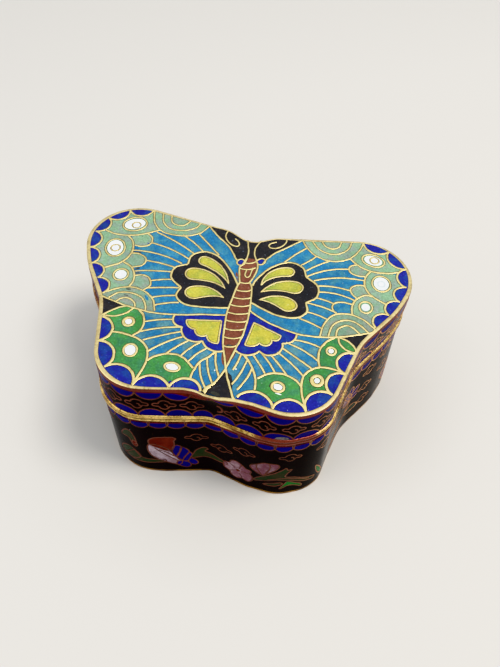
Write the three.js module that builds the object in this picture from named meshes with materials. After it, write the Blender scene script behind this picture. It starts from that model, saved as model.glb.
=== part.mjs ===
// A cloisonne enamel trinket box in the shape of a butterfly, with a lift-off lid.
// Millimetres, +Z up. The origin is on the surface that the box stands on, at the
// middle of its outline. +Y points to the butterfly's head, +X to the wing on the
// right of someone who looks down on the lid with the head away from them.
import * as THREE from "three";

// Heights
const boxHeight = 39;
const jointZ = 27.3; // where the lid sits on the base
const footDepth = 0.9; // gilt foot rim, up to the enamelled wall
const undersideZ = 0.5; // the floor's underside stands clear of the table
const floorZ = 2.5; // the floor's upper face
const baseRimHeight = 1.1;
const lidRimHeight = 1.2;
const edgeBandHeight = 1.3; // gilt band round the lid's top corner
const lidTopThickness = 2.2;
const collarBelow = 4.8; // how far the collar reaches down inside the base
const collarAbove = 4.7; // and how far it stands up inside the lid

// Widths, measured inwards from the outline
const baseWall = 2.1; // copper with enamel on both faces
const lidWall = 1.8;
const edgeBandWidth = 1.05;
const collarThickness = 0.7;
const rimProud = 0.45; // how far both rims stand out from the walls
const innerFillet = 1.2; // round between each wall and its floor or ceiling
const cornerRound = 0.45; // softened outer corner of the edge band

// The right half of the outline, from the head notch to the tail notch. It follows
// each circle in turn, on the outside of a lobe and on the inside of a hollow, and
// crosses to the next circle along their common tangent.
const LOBE = 1;
const HOLLOW = -1;
const wingCircles = [
  { at: "head notch", x: 0, y: 27.1, r: 4.9, side: HOLLOW },
  { at: "shoulder", x: 8.5, y: 18.9, r: 6.4, side: LOBE },
  { at: "forewing tip", x: 29.5, y: 15.8, r: 13.0, side: LOBE },
  { at: "forewing side", x: 11.3, y: 20.3, r: 31.6, side: LOBE },
  { at: "waist", x: 47.5, y: -13.0, r: 17.0, side: HOLLOW },
  { at: "hindwing", x: 16.7, y: -17.0, r: 11.8, side: LOBE },
  { at: "tail notch", x: 0, y: -40.5, r: 14.0, side: HOLLOW },
];
const arcStep = THREE.MathUtils.degToRad(9);
const headNormal = Math.PI / 2; // the outline's normal on the axis, at the head
const tailNormal = -Math.PI / 2; // and at the tail

// Direction of the outward normal on the tangent that leaves circle a for circle b.
function tangentNormal(a, b) {
  const dx = b.x - a.x;
  const dy = b.y - a.y;
  const reach = (a.side * a.r - b.side * b.r) / Math.hypot(dx, dy);
  return Math.atan2(dy, dx) + Math.acos(reach);
}

// Stations round the whole outline, counter-clockwise seen from above. Each has a
// point and its outward normal, so a parallel outline is point + offset * normal.
function traceOutline(circles) {
  const normals = [headNormal];
  for (let i = 1; i < circles.length; i++)
    normals.push(tangentNormal(circles[i - 1], circles[i]));
  normals.push(tailNormal);

  const right = [];
  circles.forEach(({ x, y, r, side }, i) => {
    const turn = THREE.MathUtils.euclideanModulo(
      normals[i + 1] - normals[i] + Math.PI, 2 * Math.PI) - Math.PI;
    const steps = Math.max(1, Math.ceil(Math.abs(turn) / arcStep));
    for (let k = 0; k <= steps; k++) {
      const angle = normals[i] + (turn * k) / steps;
      const normal = new THREE.Vector2(Math.cos(angle), Math.sin(angle));
      const point = new THREE.Vector2(x, y).addScaledVector(normal, side * r);
      right.push({ point, normal });
    }
  });

  const mirror = (v) => new THREE.Vector2(-v.x, v.y);
  const left = right.slice(1, -1).map(({ point, normal }) => (
    { point: mirror(point), normal: mirror(normal) }));
  return [...right.reverse(), ...left];
}

const outline = traceOutline(wingCircles);

// Skins a profile of [offset, z] pairs round the outline. A solid's profile starts
// and ends in a flat cap; a ring's profile closes on itself. It climbs on the
// outside and comes down on the inside, which turns the faces outwards.
function skin(profile, isRing) {
  const count = outline.length;
  const positions = profile.flatMap(([offset, z]) => outline.flatMap(
    ({ point, normal }) => [point.x + offset * normal.x, point.y + offset * normal.y, z]));
  const faces = [];
  const bands = isRing ? profile.length : profile.length - 1;
  for (let band = 0; band < bands; band++) {
    const low = band * count;
    const high = ((band + 1) % profile.length) * count;
    for (let i = 0; i < count; i++) {
      const j = (i + 1) % count;
      faces.push(low + i, low + j, high + j, low + i, high + j, high + i);
    }
  }
  if (!isRing) {
    const last = (profile.length - 1) * count;
    for (const [a, b, c] of capTriangles(profile[0][0])) faces.push(c, b, a);
    for (const [a, b, c] of capTriangles(profile.at(-1)[0]))
      faces.push(last + a, last + b, last + c);
  }
  const geometry = new THREE.BufferGeometry();
  geometry.setAttribute("position", new THREE.Float32BufferAttribute(positions, 3));
  geometry.setIndex(faces);
  geometry.computeVertexNormals();
  return geometry;
}

function capTriangles(offset) {
  const rim = outline.map(({ point, normal }) => (
    point.clone().addScaledVector(normal, offset)));
  return THREE.ShapeUtils.triangulateShape(rim, []);
}

const solid = (profile) => skin(profile, false);
const ring = (profile) => skin(profile, true);

// A quarter round as profile points, from angle `from` to angle `to` in degrees.
function arc(centreOffset, centreZ, radiusOut, radiusUp, from, to, steps) {
  return Array.from({ length: steps + 1 }, (_, k) => {
    const angle = THREE.MathUtils.degToRad(from + ((to - from) * k) / steps);
    return [centreOffset + radiusOut * Math.cos(angle), centreZ + radiusUp * Math.sin(angle)];
  });
}

// Base: one bowl of copper and enamel, its wall standing on the foot rim.
function baseShell() {
  const wallTop = jointZ - baseRimHeight;
  return solid([
    [-baseWall, undersideZ],
    [-baseWall, footDepth],
    [0, footDepth],
    [0, wallTop],
    [-baseWall, wallTop],
    ...arc(-baseWall - innerFillet, floorZ + innerFillet, innerFillet, innerFillet, 0, -90, 2),
  ]);
}

// Foot rim: a gilt strip under the wall, a little inside it at the table.
function footRim() {
  const chamfer = 0.25;
  return ring([
    [-chamfer, 0],
    [0, chamfer],
    [0, footDepth],
    [-baseWall, footDepth],
    [-baseWall, 0],
  ]);
}

// A rim that caps a wall's edge and swells into a half-round bead outside it.
function beadRim(low, height, wall) {
  const bead = arc(0, low + height / 2, rimProud, height / 2, -90, 90, 4);
  return ring([...bead, [-wall, low + height], [-wall, low]]);
}

// Collar: the upright strip inside the base that the lid slides over.
function collar() {
  const outside = -baseWall;
  const inside = -baseWall - collarThickness;
  const top = jointZ + collarAbove;
  const lead = collarThickness / 2; // chamfer that guides the lid on
  return ring([
    [outside, jointZ - collarBelow],
    [outside, top - lead],
    [outside - lead, top],
    [inside, top],
    [inside, jointZ - collarBelow],
  ]);
}

// Lid: one cap of copper and enamel, stepped round its top corner for the edge band.
function lidShell() {
  const ceiling = boxHeight - lidTopThickness;
  const bandFoot = boxHeight - edgeBandHeight;
  return solid([
    ...arc(-lidWall - innerFillet, ceiling - innerFillet, innerFillet, innerFillet, 90, 0, 2),
    [-lidWall, jointZ + lidRimHeight],
    [0, jointZ + lidRimHeight],
    [0, bandFoot],
    [-edgeBandWidth, bandFoot],
    [-edgeBandWidth, boxHeight],
  ]);
}

// Edge band: the gilt border of the lid's top, turned down over its corner.
function edgeBand() {
  const bandFoot = boxHeight - edgeBandHeight;
  return ring([
    [0, bandFoot],
    ...arc(-cornerRound, boxHeight - cornerRound, cornerRound, cornerRound, 0, 90, 2),
    [-edgeBandWidth, boxHeight],
    [-edgeBandWidth, bandFoot],
  ]);
}

const enamel = { roughness: 0.25, metalness: 0 };
const gilt = { color: 0xd9ad52, roughness: 0.28, metalness: 1 };

function piece(name, geometry, finish) {
  const mesh = new THREE.Mesh(geometry, new THREE.MeshStandardMaterial(finish));
  mesh.name = name;
  return mesh;
}

const base = new THREE.Group();
base.add(
  piece("foot_rim", footRim(), gilt),
  piece("base_shell", baseShell(), { ...enamel, color: 0x120c14 }),
  piece("base_rim", beadRim(jointZ - baseRimHeight, baseRimHeight, baseWall), gilt),
  piece("base_collar", collar(), gilt),
);

const lid = new THREE.Group();
lid.add(
  piece("lid_rim", beadRim(jointZ, lidRimHeight, lidWall), gilt),
  piece("lid_shell", lidShell(), { ...enamel, color: 0x2d86b8 }),
  piece("lid_edge_band", edgeBand(), gilt),
);

const box = new THREE.Group();
box.add(base, lid);
export default box;
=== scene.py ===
import math
import random

import bmesh
import bpy
import numpy as np
from mathutils import Matrix, Vector, geometry


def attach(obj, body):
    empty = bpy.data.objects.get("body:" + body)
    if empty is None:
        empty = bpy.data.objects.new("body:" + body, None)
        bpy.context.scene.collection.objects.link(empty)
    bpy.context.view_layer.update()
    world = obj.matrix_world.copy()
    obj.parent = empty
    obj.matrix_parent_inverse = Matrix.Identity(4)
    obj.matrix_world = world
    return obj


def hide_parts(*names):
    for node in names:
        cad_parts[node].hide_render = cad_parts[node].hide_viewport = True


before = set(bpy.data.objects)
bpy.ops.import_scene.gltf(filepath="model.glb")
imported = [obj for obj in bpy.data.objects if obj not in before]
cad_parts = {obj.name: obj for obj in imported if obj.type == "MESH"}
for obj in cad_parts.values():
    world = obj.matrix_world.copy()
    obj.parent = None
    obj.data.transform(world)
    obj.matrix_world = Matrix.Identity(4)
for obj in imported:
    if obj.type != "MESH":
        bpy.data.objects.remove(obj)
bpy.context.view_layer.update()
mm = 0.001
print("frame loaded:", sorted(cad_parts))


# the camera, in millimetres and degrees
viewpoint = {
    "place": (20.3, -96.8, 151.6),
    "azimuth": 9.36,
    "elevation": 51.5,
    "roll": 2.55,
    "lens": 33.3,
}


def setCamera(look):
    data = bpy.data.cameras.new("viewpoint")
    data.lens = look["lens"]
    data.clip_start = 0.01
    camera = bpy.data.objects.new("viewpoint", data)
    bpy.context.scene.collection.objects.link(camera)
    turn = (Matrix.Rotation(math.radians(look["azimuth"]), 4, "Z")
            @ Matrix.Rotation(math.radians(90 - look["elevation"]), 4, "X")
            @ Matrix.Rotation(math.radians(look["roll"]), 4, "Z"))
    camera.matrix_world = Matrix.Translation(Vector(look["place"]) * mm) @ turn
    bpy.context.scene.camera = camera


setCamera(viewpoint)
print("camera set")


# the outline: each circle is followed on its outside (1) or inside (-1), head to tail
boxShape = {
    "wing": [
        (0, 27.1, 4.9, -1),      # head notch
        (8.5, 18.9, 6.4, 1),     # shoulder
        (29.5, 15.8, 13.0, 1),   # forewing tip
        (11.3, 20.3, 31.6, 1),   # forewing side
        (47.5, -13.0, 17.0, -1),  # waist
        (16.7, -17.0, 11.8, 1),  # hindwing
        (0, -40.5, 14.0, -1),    # tail notch
    ],
    "arcStep": 2.0,              # degrees between outline points
    "ringStep": 0.6,             # longest step round a rim
    "borderSteps": 1200,         # places round the border where its inner edge is looked up
}


def traceOutline(shape):
    circles = shape["wing"]
    angles = [math.pi / 2]
    for (ax, ay, ar, aSide), (bx, by, br, bSide) in zip(circles, circles[1:]):
        reach = (aSide * ar - bSide * br) / math.hypot(bx - ax, by - ay)
        angles.append(math.atan2(by - ay, bx - ax) + math.acos(reach))
    angles.append(-math.pi / 2)
    points = []
    normals = []
    for (x, y, r, side), start, end in zip(circles, angles, angles[1:]):
        turn = (end - start + math.pi) % (2 * math.pi) - math.pi
        steps = max(2, math.ceil(abs(turn) / math.radians(shape["arcStep"])))
        for k in range(steps + 1):
            angle = start + turn * k / steps
            normals.append((math.cos(angle), math.sin(angle)))
            points.append((x + side * r * math.cos(angle), y + side * r * math.sin(angle)))
    # tail notch, up the right side, over the head and down the left side
    right = np.array(points)[::-1]
    rightNormals = np.array(normals)[::-1]
    flip = np.array([-1, 1])
    loop = np.vstack([right, (right * flip)[::-1][1:]])
    loopNormals = np.vstack([rightNormals, (rightNormals * flip)[::-1][1:]])
    run = np.concatenate([[0], np.cumsum(np.linalg.norm(np.diff(loop, axis=0), axis=1))])
    return {"points": loop, "normals": loopNormals, "run": run, "length": run[-1]}


outline = traceOutline(boxShape)
perimeter = outline["length"]


# the walls were bent by hand: how far they stray outward, by distance from the tail notch,
# at four heights
unevenness = {
    0.0: [(-35, 0), (-22, 0.1), (-12, 0.3), (0, -0.6), (10, 0.5), (22, -0.35), (30, 0.4), (38, 0)],
    27.3: [(-38, 0), (-20, 0.4), (-10, 0.2), (0, -0.4), (6, 0), (12, 0.4), (22, -0.7), (31, 0),
           (45, -0.5), (60, -0.8), (70, -0.5), (80, 0)],
    35.5: [(-30, 0), (-12, 0.1), (0, -0.1), (10, 0.1), (22, -0.3), (32, 0)],
    39.0: [(-14, 0), (-5.5, -0.4), (-3.0, 0), (-0.6, 1.05), (2.6, 1.15), (6, 0.2), (10, -0.35),
           (18, -0.2), (26, 0)],
}
swayStep = 0.2
swayRuns = np.arange(-perimeter / 2, perimeter / 2, swayStep)


def smoothTable(knots, width=11, closed=False):
    places, values = zip(*knots)
    window = np.hanning(width)
    window /= window.sum()
    if closed:
        level = np.interp(swayRuns, places, values, period=perimeter)
        return np.convolve(np.tile(level, 3), window, "same")[len(level):2 * len(level)]
    return np.convolve(np.interp(swayRuns, places, values, left=0, right=0), window, "same")


swayLevels = np.array([smoothTable(knots) for knots in unevenness.values()])


def fromTail(run):
    return np.mod(np.asarray(run, float) + perimeter / 2, perimeter) - perimeter / 2


def sway(run, height):
    levels = np.array([np.interp(fromTail(run), swayRuns, level) for level in swayLevels])
    place = np.interp(height, list(unevenness), range(len(unevenness))) + np.zeros(levels.shape[1:])
    low = np.clip(place.astype(int), 0, len(unevenness) - 2)
    part = place - low
    return (np.take_along_axis(levels, low[None], 0)[0] * (1 - part)
            + np.take_along_axis(levels, low[None] + 1, 0)[0] * part)


def alongWall(run, offset=0.0, height=None):
    # the place at a distance round the wall from the tail notch, and its outward normal
    if height is not None:
        offset = offset + sway(run, height)
    run = np.mod(run, perimeter)
    x, y = (np.interp(run, outline["run"], outline["points"][:, k]) for k in (0, 1))
    nx, ny = (np.interp(run, outline["run"], outline["normals"][:, k]) for k in (0, 1))
    return x + offset * nx, y + offset * ny, nx, ny


ringRuns = np.linspace(0, perimeter, math.ceil(perimeter / boxShape["ringStep"]), endpoint=False)
borderRuns = np.linspace(0, perimeter, boxShape["borderSteps"], endpoint=False)
borderX, borderY, borderNx, borderNy = alongWall(borderRuns)

# the lid's gilt border was ground by hand, so its width varies round the top
lidBorder = {
    "widths": [(-119, 0.4), (-113, 0.4), (-107, 0.65), (-96, 0.8), (-88, 0.7), (-78, 1.0), (-62, 0.95),
               (-47, 0.95), (-35, 0.9), (-25, 1.0), (-19, 0.8), (-13, 0.5), (-8, 0.45), (-3, 0.5),
               (1, 0.5), (4, 0.85), (7, 0.75), (10, 0.65), (15, 0.75), (20, 0.9), (33, 0.85), (60, 0.85),
               (70, 1.0), (80, 0.75), (88, 0.55), (97, 0.7), (106, 0.85), (113, 0.55), (119, 0.4)],
    "corner": 0.28,
    "ripple": 0.05,
    "tuck": 0.22,            # how far the wires' ends reach under it
    # offset from the varying inner edge and height over the box's top, down to the solder line
    "innerEdge": [(0.3, 0.02), (0.05, 0.01), (0.0, -0.015), (-0.09, -0.015), (-0.1, -0.2)],
}
borderWidths = smoothTable(lidBorder["widths"], 15, True)


def borderWidth(run):
    return np.interp(fromTail(run), swayRuns, borderWidths)


def nearestBorder(point):
    k = int(np.argmin((borderX - point[0]) ** 2 + (borderY - point[1]) ** 2))
    return (borderX[k], borderY[k]), (borderNx[k], borderNy[k]), borderRuns[k]


def tucked(path):
    # draws points that lie beyond the border's inner edge back under it
    result = []
    for x, y in path:
        (bx, by), (nx, ny), run = nearestBorder((x, y))
        inset = borderWidth(run) - lidBorder["tuck"]
        reach = (x - bx) * nx + (y - by) * ny
        result.append((bx - inset * nx, by - inset * ny) if reach > -inset else (x, y))
    return result


def beyond(path, reach=4.0):
    # two corners beyond the border, which close a path that ends on it
    ends = []
    for x, y in (path[-1], path[0]):
        nx, ny = nearestBorder((x, y))[1]
        ends.append((x + reach * nx, y + reach * ny))
    return ends


# flat curves, in millimetres
curveStep = 0.42


def arc(a, m, b):
    # circular arc through three points
    ax, ay, bx, by, mx, my = *a, *b, *m
    d = 2 * (ax * (my - by) + mx * (by - ay) + bx * (ay - my))
    if abs(d) < 1e-6:
        return [a, m, b]
    sa, sm, sb = ax * ax + ay * ay, mx * mx + my * my, bx * bx + by * by
    cx = (sa * (my - by) + sm * (by - ay) + sb * (ay - my)) / d
    cy = (sa * (bx - mx) + sm * (ax - bx) + sb * (mx - ax)) / d
    radius = math.hypot(ax - cx, ay - cy)
    start, middle, end = (math.atan2(y - cy, x - cx) for x, y in (a, m, b))
    sweep = (end - start) % (2 * math.pi)
    if (middle - start) % (2 * math.pi) > sweep:
        sweep -= 2 * math.pi
    steps = max(3, math.ceil(abs(sweep) * radius / curveStep))
    return [(cx + radius * math.cos(start + sweep * k / steps),
             cy + radius * math.sin(start + sweep * k / steps)) for k in range(steps + 1)]


def smooth(points, closed=False):
    # Catmull-Rom curve through the points
    pts = [Vector(p) for p in points]
    count = len(pts) if closed else len(pts) - 1
    path = []
    for i in range(count):
        if closed:
            p0, p1, p2, p3 = (pts[(i + k) % len(pts)] for k in (-1, 0, 1, 2))
        else:
            p1, p2 = pts[i], pts[i + 1]
            p0 = pts[i - 1] if i else p1 * 2 - p2
            p3 = pts[i + 2] if i + 2 < len(pts) else p2 * 2 - p1
        steps = max(2, math.ceil((p2 - p1).length / curveStep))
        for k in range(steps):
            t = k / steps
            q = (p1 * 2 + (p2 - p0) * t + (p0 * 2 - p1 * 5 + p2 * 4 - p3) * t * t
                 + (p1 * 3 - p0 - p2 * 3 + p3) * t ** 3) / 2
            path.append((q.x, q.y))
    if not closed:
        path.append(tuple(points[-1]))
    return path


def ellipse(centre, across, up, turn=0):
    steps = max(14, math.ceil(2 * math.pi * max(across, up) / curveStep))
    c, s = math.cos(math.radians(turn)), math.sin(math.radians(turn))
    path = []
    for k in range(steps):
        angle = 2 * math.pi * k / steps
        x, y = across * math.cos(angle), up * math.sin(angle)
        path.append((centre[0] + c * x - s * y, centre[1] + s * x + c * y))
    return path


def teardrop(tip, middle, far, radius, steps=22, swell=1.15):
    # a bent drop: its spine runs from the tip through middle to the round end
    spine = np.array(arc(tip, middle, far))
    run = np.concatenate([[0], np.cumsum(np.linalg.norm(np.diff(spine, axis=0), axis=1))])
    at = run[-1] * (1 - np.cos(np.linspace(0, math.pi, steps))) / 2
    x, y = (np.interp(at, run, spine[:, k]) for k in (0, 1))
    tx, ty = np.gradient(x), np.gradient(y)
    size = np.hypot(tx, ty)
    nearEnd = run[-1] - at
    rising = np.sin(np.clip(at / (run[-1] - radius), 0, 1) * math.pi / 2) ** swell
    ending = np.sqrt(np.clip(radius ** 2 - (radius - nearEnd) ** 2, 0, None)) / radius
    width = radius * np.where(nearEnd < radius, ending, rising)
    left, right = ([(x[k] - side * ty[k] / size[k] * width[k], y[k] + side * tx[k] / size[k] * width[k])
                    for k in range(steps)] for side in (1, -1))
    return left + right[-2:0:-1]


def joined(*paths):
    result = []
    for path in paths:
        result += path[1:] if result else path
    return result


class Design:
    # enamel cells in the order they are laid, and the wires between them
    def __init__(self, bordered=False):
        self.cells = []
        self.wires = []
        self.bordered = bordered

    def cell(self, enamel, path):
        self.cells.append((enamel, path))

    def wire(self, path, width, closed=False):
        if self.bordered:
            path = tucked(path)
        self.wires.append((path, width, closed))

    def outlined(self, enamel, path, width):
        self.cell(enamel, path)
        self.wire(path, width, True)

    def edged(self, enamel, path, closing, width):
        # a cell with a wire along its path only. The closing corners are under other cells
        self.cell(enamel, path + closing)
        self.wire(path, width)


def sRgb(red, green, blue):
    # display values of 0 to 255 as linear light
    return tuple(c / 3294.6 if c < 11 else ((c / 255 + 0.055) / 1.055) ** 2.4 for c in (red, green, blue))


# each enamel: its colour, the colour that clouds it, and how far it clouds
palette = {
    "foreBlue": (sRgb(36, 109, 154), sRgb(72, 134, 148), 0.75),
    "hindBlue": (sRgb(40, 110, 152), sRgb(88, 136, 142), 0.9),
    "tailBlue": (sRgb(42, 106, 148), sRgb(74, 130, 146), 0.7),
    "mint": (sRgb(126, 162, 128), sRgb(132, 146, 140), 0.8),
    "greyMint": (sRgb(120, 152, 128), sRgb(136, 142, 130), 0.9),
    "leafGreen": (sRgb(66, 132, 66), sRgb(58, 114, 84), 0.7),
    "cobalt": (sRgb(30, 32, 132), sRgb(30, 76, 134), 0.5),
    "deepCobalt": (sRgb(9, 7, 100), sRgb(18, 18, 104), 0.6),
    "yellow": (sRgb(184, 176, 68), sRgb(118, 146, 66), 0.4),
    "black": (sRgb(34, 33, 36), sRgb(50, 46, 46), 0.6),
    # painted shade: the walls' black enamel is a darker copy of the top's black, for walls that stand in
    # shade
    "wallBlack": (sRgb(7, 3, 6), sRgb(15, 7, 11), 0.6),
    "bareCopper": (sRgb(98, 38, 33), sRgb(60, 22, 24), 0.9),
    "redBrown": (sRgb(120, 71, 52), sRgb(104, 54, 42), 0.8),
    "white": (sRgb(246, 248, 250), sRgb(220, 226, 230), 0.6),
    "pearlGrey": (sRgb(206, 214, 216), sRgb(190, 198, 200), 0.6),
    "smear": (sRgb(104, 116, 136), sRgb(128, 78, 66), 0.9),
    # dark soot, and on the black tail a painted glare
    "soot": (sRgb(52, 52, 46), sRgb(84, 92, 84), 0.9),
    "petalRed": (sRgb(84, 18, 13), sRgb(104, 38, 28), 0.8),
    "petalPink": (sRgb(120, 80, 90), sRgb(152, 126, 132), 0.9),
    "petalPale": (sRgb(138, 114, 122), sRgb(184, 166, 176), 0.9),
    "stemGreen": (sRgb(42, 54, 38), sRgb(58, 54, 42), 0.9),
    "brightGreen": (sRgb(44, 108, 50), sRgb(40, 86, 44), 0.6),
    "chipped": (sRgb(120, 114, 112), sRgb(60, 54, 62), 0.9),
}

# the butterfly's wings, seen from above. They were laid by hand and aren't a mirrored pair
leftWing = {
    "side": -1,
    "lobes": [
        ([(-30.7, 7.6), (-29.0, 6.9), (-27.5, 5.8), (-26.5, 4.2), (-25.9, 2.0), (-26.3, -0.3)],
         [(-27.0, -4.0), (-46, -4.0), (-46, 8)]),
        ([(-32.3, 17.1), (-30.5, 15.4), (-29.5, 12.6), (-29.7, 9.6), (-31.3, 6.8), (-34.4, 4.6)],
         [(-46, 4.6), (-46, 17.5)]),
        ([(-39.2, 17.9), (-34.8, 16.9), (-29.8, 17.9), (-24.8, 21.0)],
         [(-24.8, 33), (-46, 33), (-46, 17.9)]),
    ],
    "fingers": [
        ("mint", [(-29.4, 14.0), (-27.6, 13.9), (-25.9, 14.8), (-25.5, 16.6), (-26.2, 18.1), (-27.5, 19.0)],
         [(-29.6, 17.9), (-31.3, 17.0)]),
        ("greyMint", [(-29.4, 11.0), (-27.2, 11.1), (-25.4, 10.1), (-24.9, 8.7), (-25.6, 7.2), (-27.6, 6.2)],
         [(-30.6, 7.6), (-29.8, 9.5)]),
        ("greyMint", [(-26.2, 3.5), (-24.4, 4.1), (-22.6, 3.7), (-21.5, 2.0), (-21.5, 0.7), (-22.6, -0.7)],
         [(-26.2, -0.3), (-25.9, 2.0)]),
    ],
    "topFan": [
        [(-28.5, 28.5), (-26.8, 23.3), (-23.4, 20.4), (-17.7, 20.3), (-13.9, 22.4), (-12.2, 25.6)],
        [(-25.8, 28.0), (-24.6, 24.2), (-22.1, 22.2), (-18.4, 22.3), (-15.6, 24.1), (-14.7, 26.2)],
        [(-23.3, 27.6), (-22.4, 24.8), (-20.5, 23.9), (-18.8, 24.4), (-17.7, 26.3)],
    ],
    "waistFan": [
        [(-31.9, -3.8), (-29.0, -1.6), (-25.6, -0.4), (-22.2, -1.0), (-19.4, -3.2), (-17.9, -6.6)],
        [(-30.0, -4.9), (-28.2, -2.9), (-25.2, -2.3), (-22.3, -3.1), (-20.7, -5.1), (-20.1, -6.9)],
        [(-27.8, -5.5), (-26.7, -4.3), (-25.0, -4.1), (-23.5, -5.0), (-22.8, -6.4)],
    ],
    "foreScallops": [(-28.7, 28.2), (-34.9, 26.9), (-39.8, 22.7), (-41.1, 16.8), (-40.5, 10.7),
                     (-38.0, 5.3), (-34.85, 0.85), (-31.9, -3.9)],
    "hindScallops": [(-29.3, -11.0), (-28.0, -18.0), (-24.0, -24.7), (-16.5, -28.0), (-8.6, -27.1),
                     (-1.6, -26.2)],
    "foreSpots": [
        ((-31.9, 21.8), (3.2, 2.6), 28, (2.75, 1.95), ((-31.4, 21.5), 1.15)),
        ((-34.1, 12.0), (2.5, 3.2), 16, (2.0, 2.75), ((-34.0, 11.9), 1.2)),
        ((-29.6, 3.1), (1.85, 1.95), 0, (1.4, 1.45), None),
    ],
    "hindSpots": [
        ((-22.9, -11.1), (1.25, 1.25), 0, 0.7, (0.8, 0.85)),
        ((-19.9, -19.0), (1.55, 1.75), 20, 0.5, (1.25, 1.45)),
        ((-9.4, -21.5), (1.75, 1.15), -3, 0.5, (1.5, 0.85)),
    ],
    "blackPatch": [
        [(-0.2, 6.0), (-3.1, 10.6), (-7.0, 14.6), (-11.0, 15.7), (-14.0, 13.6), (-14.2, 10.3)],
        [(-14.2, 10.3), (-17.0, 8.5), (-17.1, 5.0), (-13.8, 2.1)],
        [(-13.8, 2.1), (-14.2, -0.7), (-11.7, -2.9), (-6.9, -2.9), (-0.8, -1.8)],
    ],
    "drops": [
        ((-2.6, 6.0), (-6.6, 10.7), (-11.8, 12.8), 1.5),
        ((-3.2, 4.3), (-8.2, 7.2), (-13.9, 6.9), 1.95),
        ((-2.8, 1.2), (-7.4, 2.1), (-12.0, 0.1), 2.0),
    ],
    "waistLine": [(-33.0, -4.5), (-29.8, -5.3), (-24.8, -6.5), (-18.0, -7.2), (-11.1, -6.3), (-6.9, -5.3),
                  (-0.8, -4.1)],
    "hindPatch": [
        ((-12.9, -6.8), (-12.5, -9.0), (-10.25, -9.9)),
        ((-10.25, -9.9), (-8.7, -12.9), (-4.6, -12.9)),
        ((-4.6, -12.9), (-1.9, -15.1), (0.8, -14.7)),
    ],
    "hindPatchTop": [(-4.0, -4.6), (-8.0, -5.6)],
    "hindYellow": [
        [(-1.6, -6.1), (-9.7, -7.6)],
        ((-9.7, -7.6), (-8.9, -9.3), (-7.1, -9.9)),
        ((-7.1, -9.9), (-6.2, -11.4), (-4.0, -11.1)),
        ((-4.0, -11.1), (-2.9, -12.6), (-0.9, -12.9)),
        [(-0.9, -12.9), (-1.6, -6.1)],
    ],
    "foreWires": [
        ((-14.4, 22.1), (-10.9, 18.8), (-7.2, 15.3)),
        ((-18.2, 20.6), (-15.2, 18.7), (-11.5, 15.7)),
        ((-25.2, 20.0), (-19.5, 17.7), (-13.6, 14.3)),
        ((-25.5, 15.8), (-20.2, 14.7), (-14.5, 12.2)),
        ((-29.2, 12.1), (-22.2, 12.1), (-15.7, 10.1)),
        ((-24.9, 9.2), (-21.0, 9.1), (-17.0, 8.4)),
        ((-26.5, 5.0), (-22.2, 6.1), (-17.4, 6.8)),
        ((-21.6, 2.7), (-19.4, 3.6), (-16.8, 4.2)),
        ((-21.6, 0.2), (-17.8, 1.2), (-14.2, 1.9)),
        ((-19.7, -2.5), (-16.9, -1.4), (-14.1, -0.6)),
        ((-18.4, -4.8), (-15.6, -3.5), (-13.0, -2.8)),
    ],
    "hindWires": [
        ((-19.2, -10.3), (-16.1, -9.0), (-12.9, -8.2)),
        ((-19.3, -13.3), (-15.0, -11.3), (-10.3, -10.0)),
        ((-18.0, -15.6), (-14.2, -13.4), (-10.0, -11.3)),
        ((-15.9, -18.4), (-12.9, -15.3), (-9.4, -12.8)),
        ((-11.9, -18.5), (-10.1, -16.0), (-7.8, -13.6)),
        ((-8.4, -18.3), (-7.0, -15.8), (-5.0, -13.4)),
        ((-6.2, -19.2), (-4.9, -16.8), (-3.0, -14.7)),
    ],
    "greenLobes": [
        ([(-15.5, -21.2), (-14.0, -19.5), (-11.0, -18.1), (-7.75, -18.4), (-4.7, -20.8)],
         [(-4.7, -23.4), (-5.2, -33), (-16.6, -33), (-15.6, -24.0)]),
        ([(-25.6, -14.8), (-23.2, -14.7), (-19.2, -15.5), (-16.5, -17.5), (-15.5, -20.5), (-15.6, -23.3),
          (-16.6, -27.6)],
         [(-17.0, -33), (-38, -33), (-38, -14.8)]),
        ([(-21.6, -7.1), (-20.1, -8.5), (-19.2, -11.0), (-19.5, -13.2), (-20.7, -14.9)],
         [(-25.6, -15.0), (-36, -15.0), (-36, -10.5), (-29.4, -10.4), (-25.0, -9.0), (-23.2, -7.0)]),
    ],
    "blackWaist": [(-36, -5.0), (-30.0, -5.2), (-25.0, -6.6), (-29.5, -10.3), (-36, -11)],
    "leaf": [
        [(-29.6, -10.4), (-27.9, -8.6), (-26.1, -7.1), (-24.6, -6.5)],
        [(-29.6, -10.5), (-26.7, -10.2), (-24.4, -8.8), (-23.1, -6.9)],
    ],
    "tailArc": [(-1.0, -15.4), (-2.1, -17.0), (-3.7, -18.8), (-4.3, -20.6), (-4.65, -22.7), (-4.7, -23.9)],
    "tailCorner": [(-1.6, -27.5), (1.5, -28), (1.5, -15)],
    "tailWires": [
        ((-3.6, -19.3), (-2.5, -22.6), (-0.6, -25.6)),
        ((-2.3, -17.4), (-1.2, -21.0), (0.6, -24.1)),
        ((-0.8, -15.5), (0.0, -18.8), (1.4, -21.8)),
    ],
    "cobaltWedges": [(-16.5, -28.0), (-8.6, -27.1)],
}

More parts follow.
